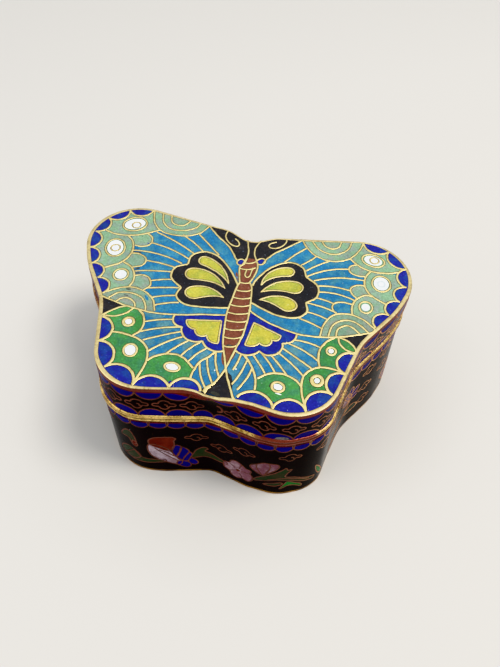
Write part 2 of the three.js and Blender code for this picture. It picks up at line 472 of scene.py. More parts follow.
rightWing = {
    "side": 1,
    "lobes": [
        ([(32.9, 9.7), (30.9, 9.5), (28.9, 7.4), (28.3, 5.0), (28.6, 2.6)],
         [(34, 0), (46, 0), (46, 9.7), (36, 9.7)]),
        ([(31.9, 18.3), (30.9, 16.3), (30.6, 13.7), (31.6, 11.0), (33.6, 9.2), (36.4, 7.8)],
         [(46, 7), (46, 18.6)]),
        ([(26.3, 21.5), (29.0, 19.3), (32.3, 18.2), (36.0, 18.4), (39.0, 19.5)],
         [(46, 19), (46, 33), (26.3, 33)]),
    ],
    "fingers": [
        ("greyMint", [(28.3, 19.8), (26.8, 19.1), (26.3, 17.8), (27.0, 16.5), (28.6, 15.9), (30.6, 16.0)],
         [(31.0, 17.0), (31.6, 18.2), (29.6, 19.1)]),
        ("greyMint", [(30.8, 12.8), (29.0, 12.6), (27.6, 11.6), (27.4, 10.4), (28.1, 9.1), (29.2, 8.1)],
         [(30.9, 9.4), (32.3, 10.0), (31.3, 11.6)]),
        ("foreBlue", [(28.4, 5.9), (26.1, 6.1), (24.2, 5.5), (23.6, 4.2), (24.0, 2.9), (24.9, 2.0)],
         [(28.4, 2.6)]),
    ],
    "topFan": [
        [(29.2, 28.6), (28.3, 25.0), (25.8, 21.3), (21.7, 19.6), (17.3, 20.7), (14.4, 23.6), (13.2, 25.9)],
        [(26.1, 28.2), (25.5, 25.2), (23.4, 22.8), (20.7, 22.2), (17.8, 23.4), (15.5, 26.3)],
        [(23.5, 27.6), (22.9, 25.2), (21.1, 24.2), (19.3, 24.9), (18.2, 26.6)],
    ],
    "waistFan": [
        [(21.8, -5.8), (22.3, -1.8), (24.2, 1.5), (27.6, 2.6), (31.2, 1.7), (34.6, -0.9)],
        [(23.7, -5.3), (24.3, -1.9), (26.2, 0.2), (28.5, 0.6), (30.6, -0.2), (33.0, -2.2)],
        [(25.5, -4.9), (25.7, -2.6), (27.4, -1.1), (29.1, -1.4), (30.9, -3.0)],
    ],
    "foreScallops": [(29.1, 28.3), (36.0, 26.5), (40.65, 21.0), (41.05, 14.5), (39.7, 9.3), (37.35, 4.35),
                     (34.5, -0.2)],
    "hindScallops": [(30.0, -9.0), (28.85, -15.1), (26.6, -21.2), (21.6, -26.7), (14.4, -27.7),
                     (6.4, -26.1)],
    "foreSpots": [
        ((32.2, 22.2), (2.95, 2.15), -12, (2.3, 1.6), ((32.5, 22.3), 1.15)),
        ((34.8, 14.4), (2.3, 2.65), 8, (1.85, 2.2), None),
        ((31.6, 5.7), (1.6, 1.85), 0, (1.0, 1.1), None),
    ],
    "hindSpots": [
        ((24.9, -9.4), (1.05, 1.1), 0, 0.55, (0.6, 0.65)),
        ((22.8, -18.2), (1.2, 1.3), 0, 0.9, (0.6, 0.7)),
        ((14.6, -21.7), (1.4, 1.25), -10, 0.6, (1.1, 0.75)),
    ],
    "blackPatch": [
        [(3.3, 6.6), (4.0, 9.2), (6.9, 14.0), (11.1, 16.7), (14.7, 15.6), (16.0, 12.6)],
        [(16.0, 12.6), (19.3, 10.0), (19.5, 6.4), (17.2, 4.0)],
        [(17.2, 4.0), (17.7, 0.9), (15.2, -1.4), (10.3, -1.4), (3.9, 1.1)],
    ],
    "drops": [
        ((5.4, 7.3), (8.2, 12.0), (12.8, 13.4), 1.5),
        ((5.8, 5.0), (10.4, 8.0), (15.7, 8.0), 1.95),
        ((5.9, 2.4), (10.3, 3.1), (14.7, 1.2), 2.0),
    ],
    "waistLine": [(35.0, -1.4), (32.8, -2.3), (25.8, -5.0), (18.0, -6.2), (11.0, -4.8), (6.2, -2.7),
                  (4.0, -1.3)],
    "hindPatch": [
        ((16.4, -6.2), (15.8, -8.5), (13.6, -9.6)),
        ((13.6, -9.6), (12.6, -13.1), (8.8, -13.0)),
        ((8.8, -13.0), (6.3, -14.7), (3.4, -14.0)),
    ],
    "hindPatchTop": [(6.2, -2.7), (11.0, -4.8)],
    "hindYellow": [
        [(6.0, -5.0), (12.9, -7.5)],
        ((12.9, -7.5), (12.5, -8.8), (11.0, -9.2)),
        ((11.0, -9.2), (10.4, -10.9), (8.4, -10.7)),
        ((8.4, -10.7), (7.1, -11.9), (5.2, -11.9)),
        [(5.2, -11.9), (6.0, -5.0)],
    ],
    "foreWires": [
        ((14.6, 22.9), (11.9, 19.6), (9.8, 16.5)),
        ((17.6, 20.6), (15.8, 18.2), (14.1, 16.4)),
        ((21.3, 19.7), (18.6, 17.6), (15.7, 14.7)),
        ((26.3, 17.7), (21.2, 16.2), (16.2, 12.8)),
        ((30.6, 14.5), (24.2, 14.1), (18.1, 11.7)),
        ((27.3, 10.3), (23.3, 10.7), (19.4, 10.2)),
        ((28.7, 7.3), (24.2, 8.5), (19.8, 8.2)),
        ((23.8, 5.2), (21.7, 5.8), (19.4, 6.1)),
        ((24.9, 2.3), (21.2, 3.5), (17.3, 4.0)),
        ((23.0, -0.2), (20.4, 0.7), (17.9, 1.1)),
        ((21.8, -3.2), (18.8, -2.0), (16.3, -1.3)),
    ],
    "hindWires": [
        ((22.3, -8.9), (19.0, -8.1), (16.3, -8.0)),
        ((22.3, -12.8), (18.6, -10.6), (14.4, -9.2)),
        ((21.3, -15.3), (17.6, -13.1), (13.9, -11.0)),
        ((19.7, -17.7), (16.3, -14.7), (12.9, -12.4)),
        ((16.0, -18.2), (13.8, -15.7), (11.5, -13.4)),
        ((13.4, -18.2), (11.4, -15.5), (9.4, -13.4)),
        ((11.2, -18.8), (9.3, -16.3), (7.5, -14.2)),
    ],
    "greenLobes": [
        ([(9.8, -20.4), (12.0, -18.7), (15.0, -18.1), (18.0, -19.0), (19.7, -20.6)],
         [(20.4, -23.6), (21.6, -33), (9.0, -33), (9.8, -23.5)]),
        ([(29.2, -15.0), (25.6, -14.3), (22.6, -14.6), (20.2, -16.6), (19.5, -19.2), (20.1, -22.7),
          (21.6, -26.6)],
         [(22, -33), (38, -33), (38, -15)]),
        ([(25.5, -5.1), (23.5, -7.0), (22.3, -9.6), (22.3, -12.3), (22.9, -14.5)],
         [(29, -15), (36, -15), (36, -8.8), (30.1, -8.8), (27.8, -8.0), (26.4, -6.6), (26.0, -5.0)]),
    ],
    "blackWaist": [(37, -1.0), (33.0, -2.3), (26.3, -4.9), (29.0, -6.0), (30.6, -8.6), (37, -9)],
    "leaf": [
        [(26.0, -5.0), (28.2, -5.6), (29.8, -6.9), (31.0, -8.8)],
        [(26.0, -5.0), (26.7, -7.0), (28.4, -8.4), (30.8, -8.9)],
    ],
    "tailArc": [(5.6, -14.8), (7.0, -16.3), (8.25, -18.1), (9.1, -19.9), (9.6, -21.6), (9.8, -23.6)],
    "tailCorner": [(6.4, -27.5), (1.5, -28), (1.5, -14.2), (3.6, -14.1)],
    "tailWires": [
        ((4.9, -14.9), (4.6, -17.2), (4.0, -19.4)),
        ((6.6, -16.0), (6.0, -19.3), (4.6, -23.2)),
        ((8.1, -18.1), (7.4, -21.2), (6.0, -24.3)),
    ],
    "cobaltWedges": [(14.4, -27.7)],
}

# the head, the body between the wings and the tail below them
middle = {
    "fieldLeft": [(-12.3, 25.6), (-9.1, 22.2), (-6.0, 19.6), (-4.2, 17.4), (-3.0, 15.4), (-2.1, 14.3)],
    "fieldRight": [(4.5, 14.6), (5.0, 16.4), (5.6, 17.4), (7.0, 19.4), (9.4, 21.8), (13.3, 25.9)],
    "fieldFoot": [(1.4, 12.5)],
    "fieldTop": [(13.3, 32), (-12.3, 32)],
    "antennae": [
        [(-1.1, 22.8), (-0.4, 20.0), (0.0, 18.4), (0.1, 16.4), (0.0, 14.8), (-0.2, 14.0)],
        [(2.6, 23.2), (1.8, 21.0), (1.5, 19.4), (1.8, 17.4), (2.4, 16.0), (2.9, 14.9)],
    ],
    "curls": [
        [(-6.9, 25.1), (-7.1, 22.8), (-6.5, 21.4), (-5.4, 20.2), (-4.4, 19.6), (-3.2, 19.6), (-2.9, 20.4),
         (-3.4, 21.4), (-4.4, 22.2)],
        [(9.0, 25.3), (9.1, 24.0), (8.6, 22.8), (7.8, 21.8), (6.6, 21.0), (5.4, 20.9), (4.8, 21.6),
         (5.2, 22.6), (6.5, 23.4)],
    ],
    "eyes": [((-1.15, 14.0), (1.05, 1.1), 0), ((3.85, 15.4), (1.0, 1.25), -30)],
    "headLeft": [(0.0, 15.8), (-0.5, 13.4), (-1.05, 12.4), (-0.9, 11.0), (-0.6, 9.4), (-0.1, 7.6),
                 (0.0, 7.0)],
    "headRight": [(2.5, 15.9), (3.3, 13.8), (3.4, 12.0), (3.2, 10.4), (2.8, 8.6), (2.4, 7.6)],
    "bodyLeft": [(0.0, 7.0), (-0.4, 5.0), (-0.6, 2.0), (-0.9, -3.0), (-0.5, -8.0), (0.1, -12.0),
                 (0.93, -14.9), (1.64, -17.0), (2.4, -19.4)],
    "bodyRight": [(2.4, 7.6), (3.1, 6.4), (3.5, 5.0), (3.75, 3.0), (4.1, 0.0), (4.35, -4.0), (4.2, -9.0),
                  (3.6, -12.4), (3.2, -14.6), (2.7, -17.4), (2.4, -19.4)],
    "tail": [(2.3, -19.8), (1.5, -22.2), (0.75, -23.9), (-0.5, -24.9), (-1.5, -25.6), (-1.5, -29.0),
             (6.5, -29.0), (5.7, -26.3), (5.0, -24.4), (4.7, -22.6), (4.1, -21.0), (3.2, -20.3)],
    "tailLeft": [(2.4, -19.4), (1.9, -20.9), (1.4, -22.3), (0.7, -23.8), (-0.35, -25.0), (-0.6, -26.9)],
    "tailRight": [(2.4, -19.4), (3.4, -22.0), (4.5, -24.3), (5.9, -27.0)],
    "solderLumps": [
        ([(1.75, -21.4), (1.35, -22.3)], 0.58),
        ([(0.9, -23.5), (0.3, -24.4)], 0.75),
        ([(0.1, -24.7), (-0.6, -25.4), (-0.9, -26.6)], 0.95),
        ([(3.5, -22.2), (3.9, -23.0)], 0.56),
    ],
    "slivers": [
        [(0.6, -15.4), (1.0, -15.1), (1.75, -18.7), (1.3, -18.2), (0.85, -17.0)],
        [(3.3, -14.5), (3.75, -14.6), (3.5, -16.0), (2.9, -17.6)],
    ],
    "firstBand": 4.4,
    "lastBand": -13.2,
    "bandPitch": 2.5,
    "bandSag": 0.15,
    "bandRise": 0.8,
    "throat": [(0.8, 11.6), (0.75, 9.9), (1.35, 9.1), (2.0, 9.6), (2.2, 11.4), (2.2, 12.7)],
    "headBands": [((-0.2, 14.0), (1.1, 14.1), (2.5, 15.1)), ((-0.9, 11.8), (0.6, 11.75), (2.9, 12.9)),
                  ((0.0, 7.1), (1.2, 6.95), (2.5, 7.6))],
    # places where the firing went wrong or dirt has settled, and a few painted highlights and a painted
    # glare: enamel, centre, half length, half width, turn
    "flawsAndHighlights": [
        ("smear", (-0.75, 8.6), 1.25, 0.36, 112),
        ("redBrown", (-1.3, 9.5), 0.8, 0.25, 105),
        ("soot", (-28.0, 11.55), 1.1, 0.2, 2),
        ("soot", (-26.2, 5.95), 0.75, 0.28, 32),
        ("soot", (-25.6, 4.5), 0.9, 0.25, 18),
        ("soot", (-26.2, -1.25), 0.7, 0.25, 8),
        ("soot", (-26.1, -3.3), 0.6, 0.22, 0),
        ("foreBlue", (-21.0, -3.0), 0.95, 0.35, -52),
        ("pearlGrey", (34.8, 14.3), 1.1, 1.2, 0),
        ("white", (34.8, 14.3), 0.65, 0.75, 0),
        ("soot", (21.4, -17.7), 0.6, 0.15, 20),
        ("soot", (21.3, -18.4), 0.6, 0.13, -10),
        ("soot", (13.0, -21.5), 0.65, 0.3, 75),
        # painted glare on the black tail
        ("soot", (1.7, -26.0), 1.1, 0.3, -6),
        # painted highlight below a ring
        ("white", (15.0, -23.45), 0.75, 0.16, -8),
        ("cobalt", (-26.3, 15.4), 0.35, 0.15, -20),
        # two painted highlights on the tail
        ("white", (4.6, -19.0), 0.3, 0.18, 0),
        ("white", (0.2, -20.3), 0.3, 0.16, 60),
        ("soot", (1.7, -3.1), 1.1, 0.16, 8),
        ("soot", (1.8, -12.9), 0.8, 0.3, 4),
    ],
}

lidTop = {
    "fine": 0.42,          # widths of the wires
    "wing": 0.5,
    "patch": 0.54,
    "margin": 0.56,
    "hindMargin": 0.68,
    "pupil": 0.32,
    "dropShade": 7.5,      # how far up from its tip a drop is greenish
    "foreDepth": 2.3,      # how far the border's scallops reach in
    "hindDepth": 2.9,
    "wedge": (1.8, 2.1),   # half width and height of the cobalt between two lobes
    "axis": 1.5,           # where the two wings' enamels meet under the body
    "far": (46, 34),       # well outside the lid, across and down
    "fanFoot": -12,
    "bentFrom": -25.4,     # the lid's edge strays at the tail, and its top with it
    "bentOver": 1.8,
}


def drawArcs(design, arcs, width):
    for points in arcs:
        design.wire(arc(*points), width)


def drawScallops(design, joints, depth, width):
    for a, b in zip(joints, joints[1:]):
        halfway = ((a[0] + b[0]) / 2, (a[1] + b[1]) / 2)
        nx, ny = nearestBorder(halfway)[1]
        path = arc(a, (halfway[0] - depth * nx, halfway[1] - depth * ny), b)
        design.edged("cobalt", path, beyond(path), width)


def drawForewing(design, wing):
    for points, corners in wing["lobes"]:
        design.edged("mint", smooth(points), corners, lidTop["margin"])
    for enamel, points, closing in wing["fingers"]:
        design.edged(enamel, smooth(points), closing, lidTop["wing"])
    for k, points in enumerate(wing["topFan"]):
        path = smooth(points)
        design.edged("greyMint" if k == 2 else "mint", path, beyond(path), lidTop["wing"])
    for points in wing["waistFan"]:
        path = smooth(points)
        foot = [(x, lidTop["fanFoot"]) for x, _ in (path[-1], path[0])]
        design.edged("greyMint", path, foot, lidTop["wing"])
    drawScallops(design, wing["foreScallops"], lidTop["foreDepth"], lidTop["margin"])
    for centre, ring, turn, pearl, pupil in wing["foreSpots"]:
        design.wire(ellipse(centre, *ring, turn), lidTop["wing"], True)
        design.cell("white", ellipse(centre, *pearl, turn))
        if pupil:
            design.wire(ellipse(pupil[0], pupil[1], pupil[1]), lidTop["pupil"], True)
    drawArcs(design, wing["foreWires"], lidTop["wing"])


def drawHindwing(design, wing):
    axis, (farAcross, farDown) = lidTop["axis"], lidTop["far"]
    farSide = wing["side"] * farAcross
    waist = smooth(wing["waistLine"])
    design.cell("hindBlue", waist + [(axis, waist[-1][1]), (axis, -farDown), (farSide, -farDown),
                                     (farSide, waist[0][1])])
    tailArc = smooth(wing["tailArc"])
    design.cell("tailBlue", tailArc + wing["tailCorner"])
    for points, corners in wing["greenLobes"]:
        design.edged("leafGreen", smooth(points), corners, lidTop["margin"])
    half, tall = lidTop["wedge"]
    for x, y in wing["cobaltWedges"]:
        design.cell("cobalt", [(x - half, y), (x + half, y), (x, y + tall)])
    design.cell("black", wing["blackWaist"])
    upper, lower = (smooth(points) for points in wing["leaf"])
    design.cell("leafGreen", upper + lower[::-1])
    for path in (upper, lower):
        design.wire(path, lidTop["wing"])
    drawScallops(design, wing["hindScallops"], lidTop["hindDepth"], lidTop["hindMargin"])
    for centre, ring, turn, width, pearl in wing["hindSpots"]:
        design.cell("white", ellipse(centre, *pearl, turn))
        design.wire(ellipse(centre, *ring, turn), width, True)
    patch = joined(*(arc(*points) for points in wing["hindPatch"]))
    design.cell("cobalt", patch + [(axis, patch[-1][1]), (axis, waist[-1][1])] + wing["hindPatchTop"])
    drawArcs(design, wing["hindPatch"], lidTop["wing"])
    edges = [arc(*points) if len(points) == 3 else points for points in wing["hindYellow"]]
    design.cell("yellow", joined(*edges)[:-1])
    for path in edges:
        design.wire(path, lidTop["fine"])
    design.wire(waist, lidTop["wing"])
    design.wire(tailArc, lidTop["margin"])
    drawArcs(design, wing["hindWires"] + wing["tailWires"], lidTop["wing"])


def drawBlackPatch(design, wing):
    lobes = [smooth(points) for points in wing["blackPatch"]]
    design.cell("black", joined(*lobes) + [(lidTop["axis"], lobes[k][i][1]) for k, i in ((2, -1), (0, 0))])
    for path in lobes:
        design.wire(path, lidTop["patch"])
    for tip, middleOfDrop, far, radius in wing["drops"]:
        design.outlined("yellow", teardrop(tip, middleOfDrop, far, radius), lidTop["fine"])


def drawBody(design, parts):
    sidesOfBody = ("headLeft", "headRight", "bodyLeft", "bodyRight", "tailLeft", "tailRight")
    curve = {name: smooth(parts[name]) for name in ("fieldLeft", "fieldRight", *sidesOfBody)}
    design.cell("black", curve["fieldLeft"] + parts["fieldFoot"] + curve["fieldRight"] + parts["fieldTop"])
    for name in ("fieldLeft", "fieldRight"):
        design.wire(curve[name], lidTop["wing"])
    for points in parts["slivers"]:
        design.cell("redBrown", points)
    design.cell("redBrown", curve["headLeft"] + curve["bodyLeft"][1:] + curve["bodyRight"][::-1][1:]
                + curve["headRight"][::-1][1:])
    design.cell("black", parts["tail"])
    for points in parts["antennae"] + parts["curls"]:
        design.wire(smooth(points), lidTop["fine"])
    for name in sidesOfBody:
        design.wire(curve[name], lidTop["wing"])
    for points, width in parts["solderLumps"]:
        design.wire(points, width)
    design.wire(smooth(parts["throat"]), lidTop["fine"])
    drawArcs(design, parts["headBands"], lidTop["fine"])
    sag, rise = parts["bandSag"], parts["bandRise"]
    sides = [np.array(curve[name])[::-1] for name in ("bodyLeft", "bodyRight")]
    y = parts["firstBand"]
    while y > parts["lastBand"]:
        x0, x1 = (float(np.interp(y + lift, side[:, 1], side[:, 0]))
                  for side, lift in zip(sides, (0, rise)))
        design.wire(arc((x0, y), ((x0 + x1) / 2, y - sag), (x1, y + rise)), lidTop["fine"])
        y -= parts["bandPitch"]
    for centre, ring, turn in parts["eyes"]:
        design.outlined("cobalt", ellipse(centre, *ring, turn), lidTop["fine"])
    for enamel, centre, long, short, turn in parts["flawsAndHighlights"]:
        design.cell(enamel, ellipse(centre, long, short, turn))


def drawLidTop():
    design = Design(bordered=True)
    for draw in (drawForewing, drawHindwing, drawBlackPatch):
        for wing in (leftWing, rightWing):
            draw(design, wing)
    drawBody(design, middle)
    return design


# the flowers on the wall: how wide each wire is beside the others, its enamel and its path.
# Enamel is edged all round, and a row without enamel is a vein
rose = {
    "middle": -11,
    "parts": [
        (1, "stemGreen", smooth([(-19.5, 9.8), (-18.2, 7.4), (-16.5, 6.6), (-11.5, 6.5)])
         + smooth([(-11.5, 5.5), (-16.0, 4.6), (-20.0, 4.2), (-23.0, 5.2)])),
        (1, "stemGreen", smooth([(-24.0, 6.0), (-23.2, 9.0), (-20.8, 10.8), (-19.0, 9.4), (-18.0, 7.0),
                                 (-20.6, 4.6)], True)),
        (1, "stemGreen", smooth([(-22.4, 15.6), (-21.2, 18.6), (-19.6, 19.6), (-18.6, 17.0), (-18.4, 13.6),
                                 (-19.6, 13.4), (-20.4, 15.6)], True)),
        (1, "petalRed", smooth([(-19.2, 15.0), (-18.1, 13.6), (-18.7, 12.0), (-19.6, 12.8)], True)),
        (1, "petalPale", smooth([(-15.2, 14.4), (-15.7, 11.6), (-14.9, 8.6), (-13.0, 6.5), (-10.2, 4.8),
                                 (-8.0, 4.0), (-7.4, 6.2), (-8.8, 8.4), (-9.7, 10.4), (-10.6, 12.4),
                                 (-13.0, 14.2)], True)),
        (1, None, smooth([(-14.0, 12.8), (-12.4, 10.6), (-10.4, 8.2), (-8.4, 5.9)])),
        (1, None, smooth([(-12.9, 11.9), (-11.0, 10.6), (-9.4, 8.6)])),
        (1, "petalRed", smooth([(-9.4, 12.2), (-11.0, 11.6), (-12.6, 12.6), (-14.9, 14.4), (-15.1, 16.6),
                                (-13.6, 17.9), (-11.2, 18.3), (-9.2, 18.4)])
         + smooth([(-8.3, 17.6), (-8.9, 16.4), (-8.9, 14.4), (-9.4, 12.2)])[:-1]),
        (1, "deepCobalt", smooth([(-9.3, 13.6), (-8.2, 14.3), (-7.2, 13.4), (-7.6, 11.0), (-8.8, 8.2),
                                  (-9.6, 10.4)], True)),
        (1, "deepCobalt", smooth([(-7.2, 13.4), (-5.8, 12.2), (-5.4, 10.6), (-6.6, 8.4), (-7.5, 6.2),
                                  (-8.7, 8.2), (-7.8, 11.0)], True)),
        (1, "deepCobalt", smooth([(-5.3, 10.8), (-4.7, 9.4), (-5.3, 7.7), (-6.0, 6.0), (-7.3, 6.2),
                                  (-6.4, 8.6)], True)),
        (1, "deepCobalt", smooth([(-8.5, 5.8), (-6.9, 5.9), (-5.5, 4.9), (-5.3, 3.2), (-6.3, 2.4),
                                  (-7.6, 3.0), (-8.8, 4.3)], True)),
        (1, "deepCobalt", smooth([(-5.1, 7.4), (-3.8, 6.4), (-3.3, 4.9), (-4.0, 3.9), (-5.2, 4.4),
                                  (-5.8, 5.8)], True)),
        (1, "stemGreen", smooth([(-4.8, 7.8), (-4.4, 10.0), (-3.2, 12.3), (-1.6, 13.2), (-0.6, 12.4),
                                 (-1.4, 11.3), (0.2, 10.2), (2.0, 9.2), (4.4, 8.4), (4.2, 7.6), (1.4, 7.4),
                                 (-1.6, 8.2)], True)),
    ],
}
# an open pink blossom and a bud, with leaves along the foot of the wall
blossom = {
    "middle": 8,
    "parts": [
        (1, "stemGreen", smooth([(11.2, 5.2), (12.8, 7.6), (15.2, 10.0), (17.6, 12.3), (19.7, 14.5)])
         + smooth([(20.2, 13.2), (21.2, 13.2), (20.1, 11.4), (19.8, 9.8), (22.6, 8.6), (25.4, 6.8),
                   (28.4, 5.2)])
         + smooth([(28.0, 4.0), (24.4, 5.6), (21.2, 7.3), (17.6, 7.9), (14.6, 6.6)])),
        (1, None, smooth([(15.4, 7.6), (18.4, 8.8), (21.6, 8.3), (26.6, 5.4)])),
        (1, "stemGreen", smooth([(14.3, 4.6), (16.2, 5.9), (18.6, 6.6), (19.2, 5.7), (17.0, 4.5)], True)),
        (1, "brightGreen", smooth([(19.6, 5.6), (20.5, 7.0), (22.2, 5.9), (24.2, 4.4), (24.5, 2.9),
                                   (22.6, 4.2), (20.6, 4.6), (18.6, 3.0)], True)),
        (1, "brightGreen", smooth([(28.2, 10.4), (29.5, 8.6), (30.9, 5.6), (31.6, 3.2), (30.2, 4.0),
                                   (28.9, 6.6)], True)),
        (1, "petalPink", smooth([(3.3, 7.6), (3.7, 5.9), (5.0, 5.2), (5.7, 3.6), (7.2, 3.0), (8.7, 3.9),
                                 (10.3, 3.5), (11.4, 4.8), (11.4, 6.6), (10.8, 7.9), (11.0, 9.6), (9.6, 10.0),
                                 (8.5, 11.0), (7.0, 11.7), (5.6, 11.1), (5.0, 9.6), (3.8, 9.1)], True)),
        (0.8, None, [(5.0, 5.2), (6.68, 6.6)]),
        (0.8, None, [(8.7, 3.9), (7.79, 6.21)]),
        (0.8, None, [(10.8, 7.9), (8.42, 7.41)]),
        (0.8, None, [(8.5, 11.0), (7.73, 8.34)]),
        (0.8, None, [(5.0, 9.6), (6.68, 7.92)]),
        (0.8, "petalRed", ellipse((7.4, 7.2), 0.5, 0.5)),
        (1, "petalPink", smooth([(10.8, 11.9), (11.0, 13.3), (12.5, 14.5), (14.0, 15.8), (16.0, 16.2),
                                 (17.5, 16.2), (17.9, 15.1), (17.2, 13.4), (15.8, 11.6), (14.4, 9.8),
                                 (13.6, 9.4), (12.4, 10.2)], True)),
        (1, None, smooth([(12.3, 14.4), (12.4, 12.2), (13.6, 9.6)])),
        (1, None, smooth([(15.3, 16.1), (15.7, 13.9), (14.6, 10.2)])),
    ],
}
# a half-open bloom on the right flank, pink with cobalt outer petals, on a curved stem
sideBloom = {
    "middle": 0,
    "parts": [
        (1, "stemGreen", smooth([(0.3, 12.0), (-1.8, 8.0), (-6.2, 5.2), (-11.0, 4.6)])
         + smooth([(-11.0, 3.6), (-6.0, 4.0), (-1.0, 7.2), (1.1, 11.6)])),
        (1, "stemGreen", smooth([(-0.6, 7.4), (1.6, 8.8), (3.9, 8.2), (5.2, 6.2), (2.4, 5.8),
                                 (0, 6.2)], True)),
        (1, "deepCobalt", ellipse((2.7, 15.4), 1.9, 0.95, 40)),
        (1, "deepCobalt", ellipse((2.2, 13.2), 1.9, 0.95, 8)),
        (1, "deepCobalt", ellipse((0.6, 16.6), 1.9, 0.95, 75)),
        (1, "petalPink", smooth([(1.6, 12.2), (1.4, 14.6), (-0.4, 16.8), (-2.6, 17.2), (-3.4, 15.0),
                                 (-2.4, 12.8), (-0.4, 11.8)], True)),
        (1, None, smooth([(0.6, 12.2), (-0.8, 14.2), (-2.4, 16.6)])),
        (1, None, smooth([(1.2, 13.4), (0, 15.0), (-0.6, 16.6)])),
    ],
}

# the walls are drawn flat: across is the distance round from the tail notch, up is height
lidWall = {
    "low": 28.5,
    "high": 37.7,
    "rightJoints": (6.5, 17),     # first joint right of the tail, and scallops from there to the head
    "leftJoints": (-3.7, 19),
    "tailJoint": 1.1,
    "scallopDepth": 2.7,
    "cloudHeight": 33.0,
    "cloudSize": (2.7, 1.75),
    "wire": 0.36,
    "tailDepth": 1.7,             # the scallops at the tail are squashed
    "tailReach": 9,
    "tailCurl": [(1.0, 32.0), (2.2, 33.1), (0.9, 34.4)],
    "tailWire": 0.576,
    "bareAtHead": 37.4,
    "bare": [(-60, 37.5), (-24, 37.4), (-9, 37.4), (-6.5, 37.1), (-4.5, 36.5), (-1.2, 36.05), (0.2, 37.0),
             (1.6, 37.6), (6.5, 37.6), (8.7, 37.3), (11, 37.0), (14.5, 37.05), (16.6, 37.5), (60, 37.4)],
    "chip": [(15.6, 28.2), (16.2, 29.4), (17.6, 29.9), (19.0, 29.5), (19.6, 28.2)],
}
baseWall = {
    "low": 0.9,
    "high": 26.2,
    "scallops": 56,
    "scallopPhase": -1.2,
    "scallopDepth": 3.55,
    "cloudSize": (2.85, 1.6),
    "bare": 24.8,
    "wire": 0.32,
    "cloudWire": 0.288,
    # flowers that the rear and the right flank have beside the ones that repeat
    "moreFlowers": [(sideBloom, 48.0), (rose, 106), (blossom, -112)],
    "clouds": [(-3.3, 18.3), (2.9, 15.0), (8.9, 18.0), (20.4, 19.6), (30.2, 19.4), (37.6, 17.2),
               (43.0, 20.4), (55.8, 19.6), (55.4, 12.8), (55.6, 6.6), (63.0, 21.0), (63.4, 14.6),
               (82.0, 19.4), (89.0, 15.6), (112.0, 20.6), (118.8, 17.4), (-113.5, 16.4), (-104.0, 19.6),
               (-96.0, 14.4), (-89.4, 19.6), (-64.0, 18.2), (-56.0, 15.4), (-46.4, 19.0), (-36.6, 17.4),
               (-27.4, 20.0)],
}
cloud = {
    "edge": [(-1.0, 0.0), (-0.84, 0.3), (-0.5, 0.32), (-0.36, 0.76), (0.0, 1.0), (0.37, 0.78), (0.54, 0.34),
             (0.88, 0.26), (1.0, -0.05), (0.82, -0.32), (0.46, -0.34), (0.3, -0.78), (0.0, -1.0),
             (-0.3, -0.76), (-0.46, -0.36), (-0.84, -0.3)],
    "curl": [(0.42, -0.5), (0.22, -0.34), (0.26, -0.04), (0.02, 0.08)],
    "curlWire": 0.9,
}
pastEnds = 6         # how far a cell runs on past the ends of a wall's sheet
pastEdges = 2        # and past its upper and lower edge


def drawCloud(design, centre, size, width, mirrored=False):
    flip = -1 if mirrored else 1
    edge, curl = ([(centre[0] + flip * size[0] * x, centre[1] + size[1] * y) for x, y in cloud[name]]
                  for name in ("edge", "curl"))
    design.wire(smooth(edge, True), width, True)
    design.wire(smooth(curl), width * cloud["curlWire"])


def scallop(a, b, edge, depth):
    return arc((a, edge), ((a + b) / 2, edge + depth), (b, edge))


def drawWallScallops(design, wall, joints, down):
    edge, sign = (wall["high"], -1) if down else (wall["low"], 1)
    for a, b in zip(joints, joints[1:]):
        squashed = down and abs(a + b) < wall.get("tailReach", 0)
        path = scallop(a, b, edge, sign * wall["tailDepth" if squashed else "scallopDepth"])
        past = edge - sign * pastEdges
        design.edged("deepCobalt", path, [(b, past), (a, past)], wall["wire"])


def lidJoints(wall):
    # scallops run both ways round from the tail notch and meet at the head notch
    left, right = (np.linspace(first, end, count + 1).tolist() for (first, count), end in (
        (wall["leftJoints"], -perimeter / 2), (wall["rightJoints"], perimeter / 2)))
    return left[::-1] + [wall["tailJoint"]] + right


def drawLidWall(wall):
    design = Design()
    joints = lidJoints(wall)
    for down in (True, False):
        drawWallScallops(design, wall, joints, down)
    # the strip crosses the sheet's two ends at one height, so that they join
    right = [(perimeter / 2 + reach, wall["bareAtHead"]) for reach in (0, pastEnds)]
    left = [(-s, z) for s, z in right[::-1]]
    edge = smooth(left + wall["bare"] + right)
    over = wall["high"] + pastEdges
    design.cell("bareCopper", edge + [(right[1][0], over), (left[0][0], over)])
    design.cell("chipped", wall["chip"])
    for s in joints[1:-1]:
        if s == wall["tailJoint"]:
            # the cloud at the tail is worn away but for one end
            design.wire(arc(*((s + x, z) for x, z in wall["tailCurl"])), wall["tailWire"])
        else:
            drawCloud(design, (s, wall["cloudHeight"]), wall["cloudSize"], wall["wire"])
    return design


def drawFlower(design, flower, s, width):
    for share, enamel, path in flower["parts"]:
        path = [(s + (x - flower["middle"]), y) for x, y in path]
        if enamel:
            design.outlined(enamel, path, width * share)
        else:
            design.wire(path, width * share)


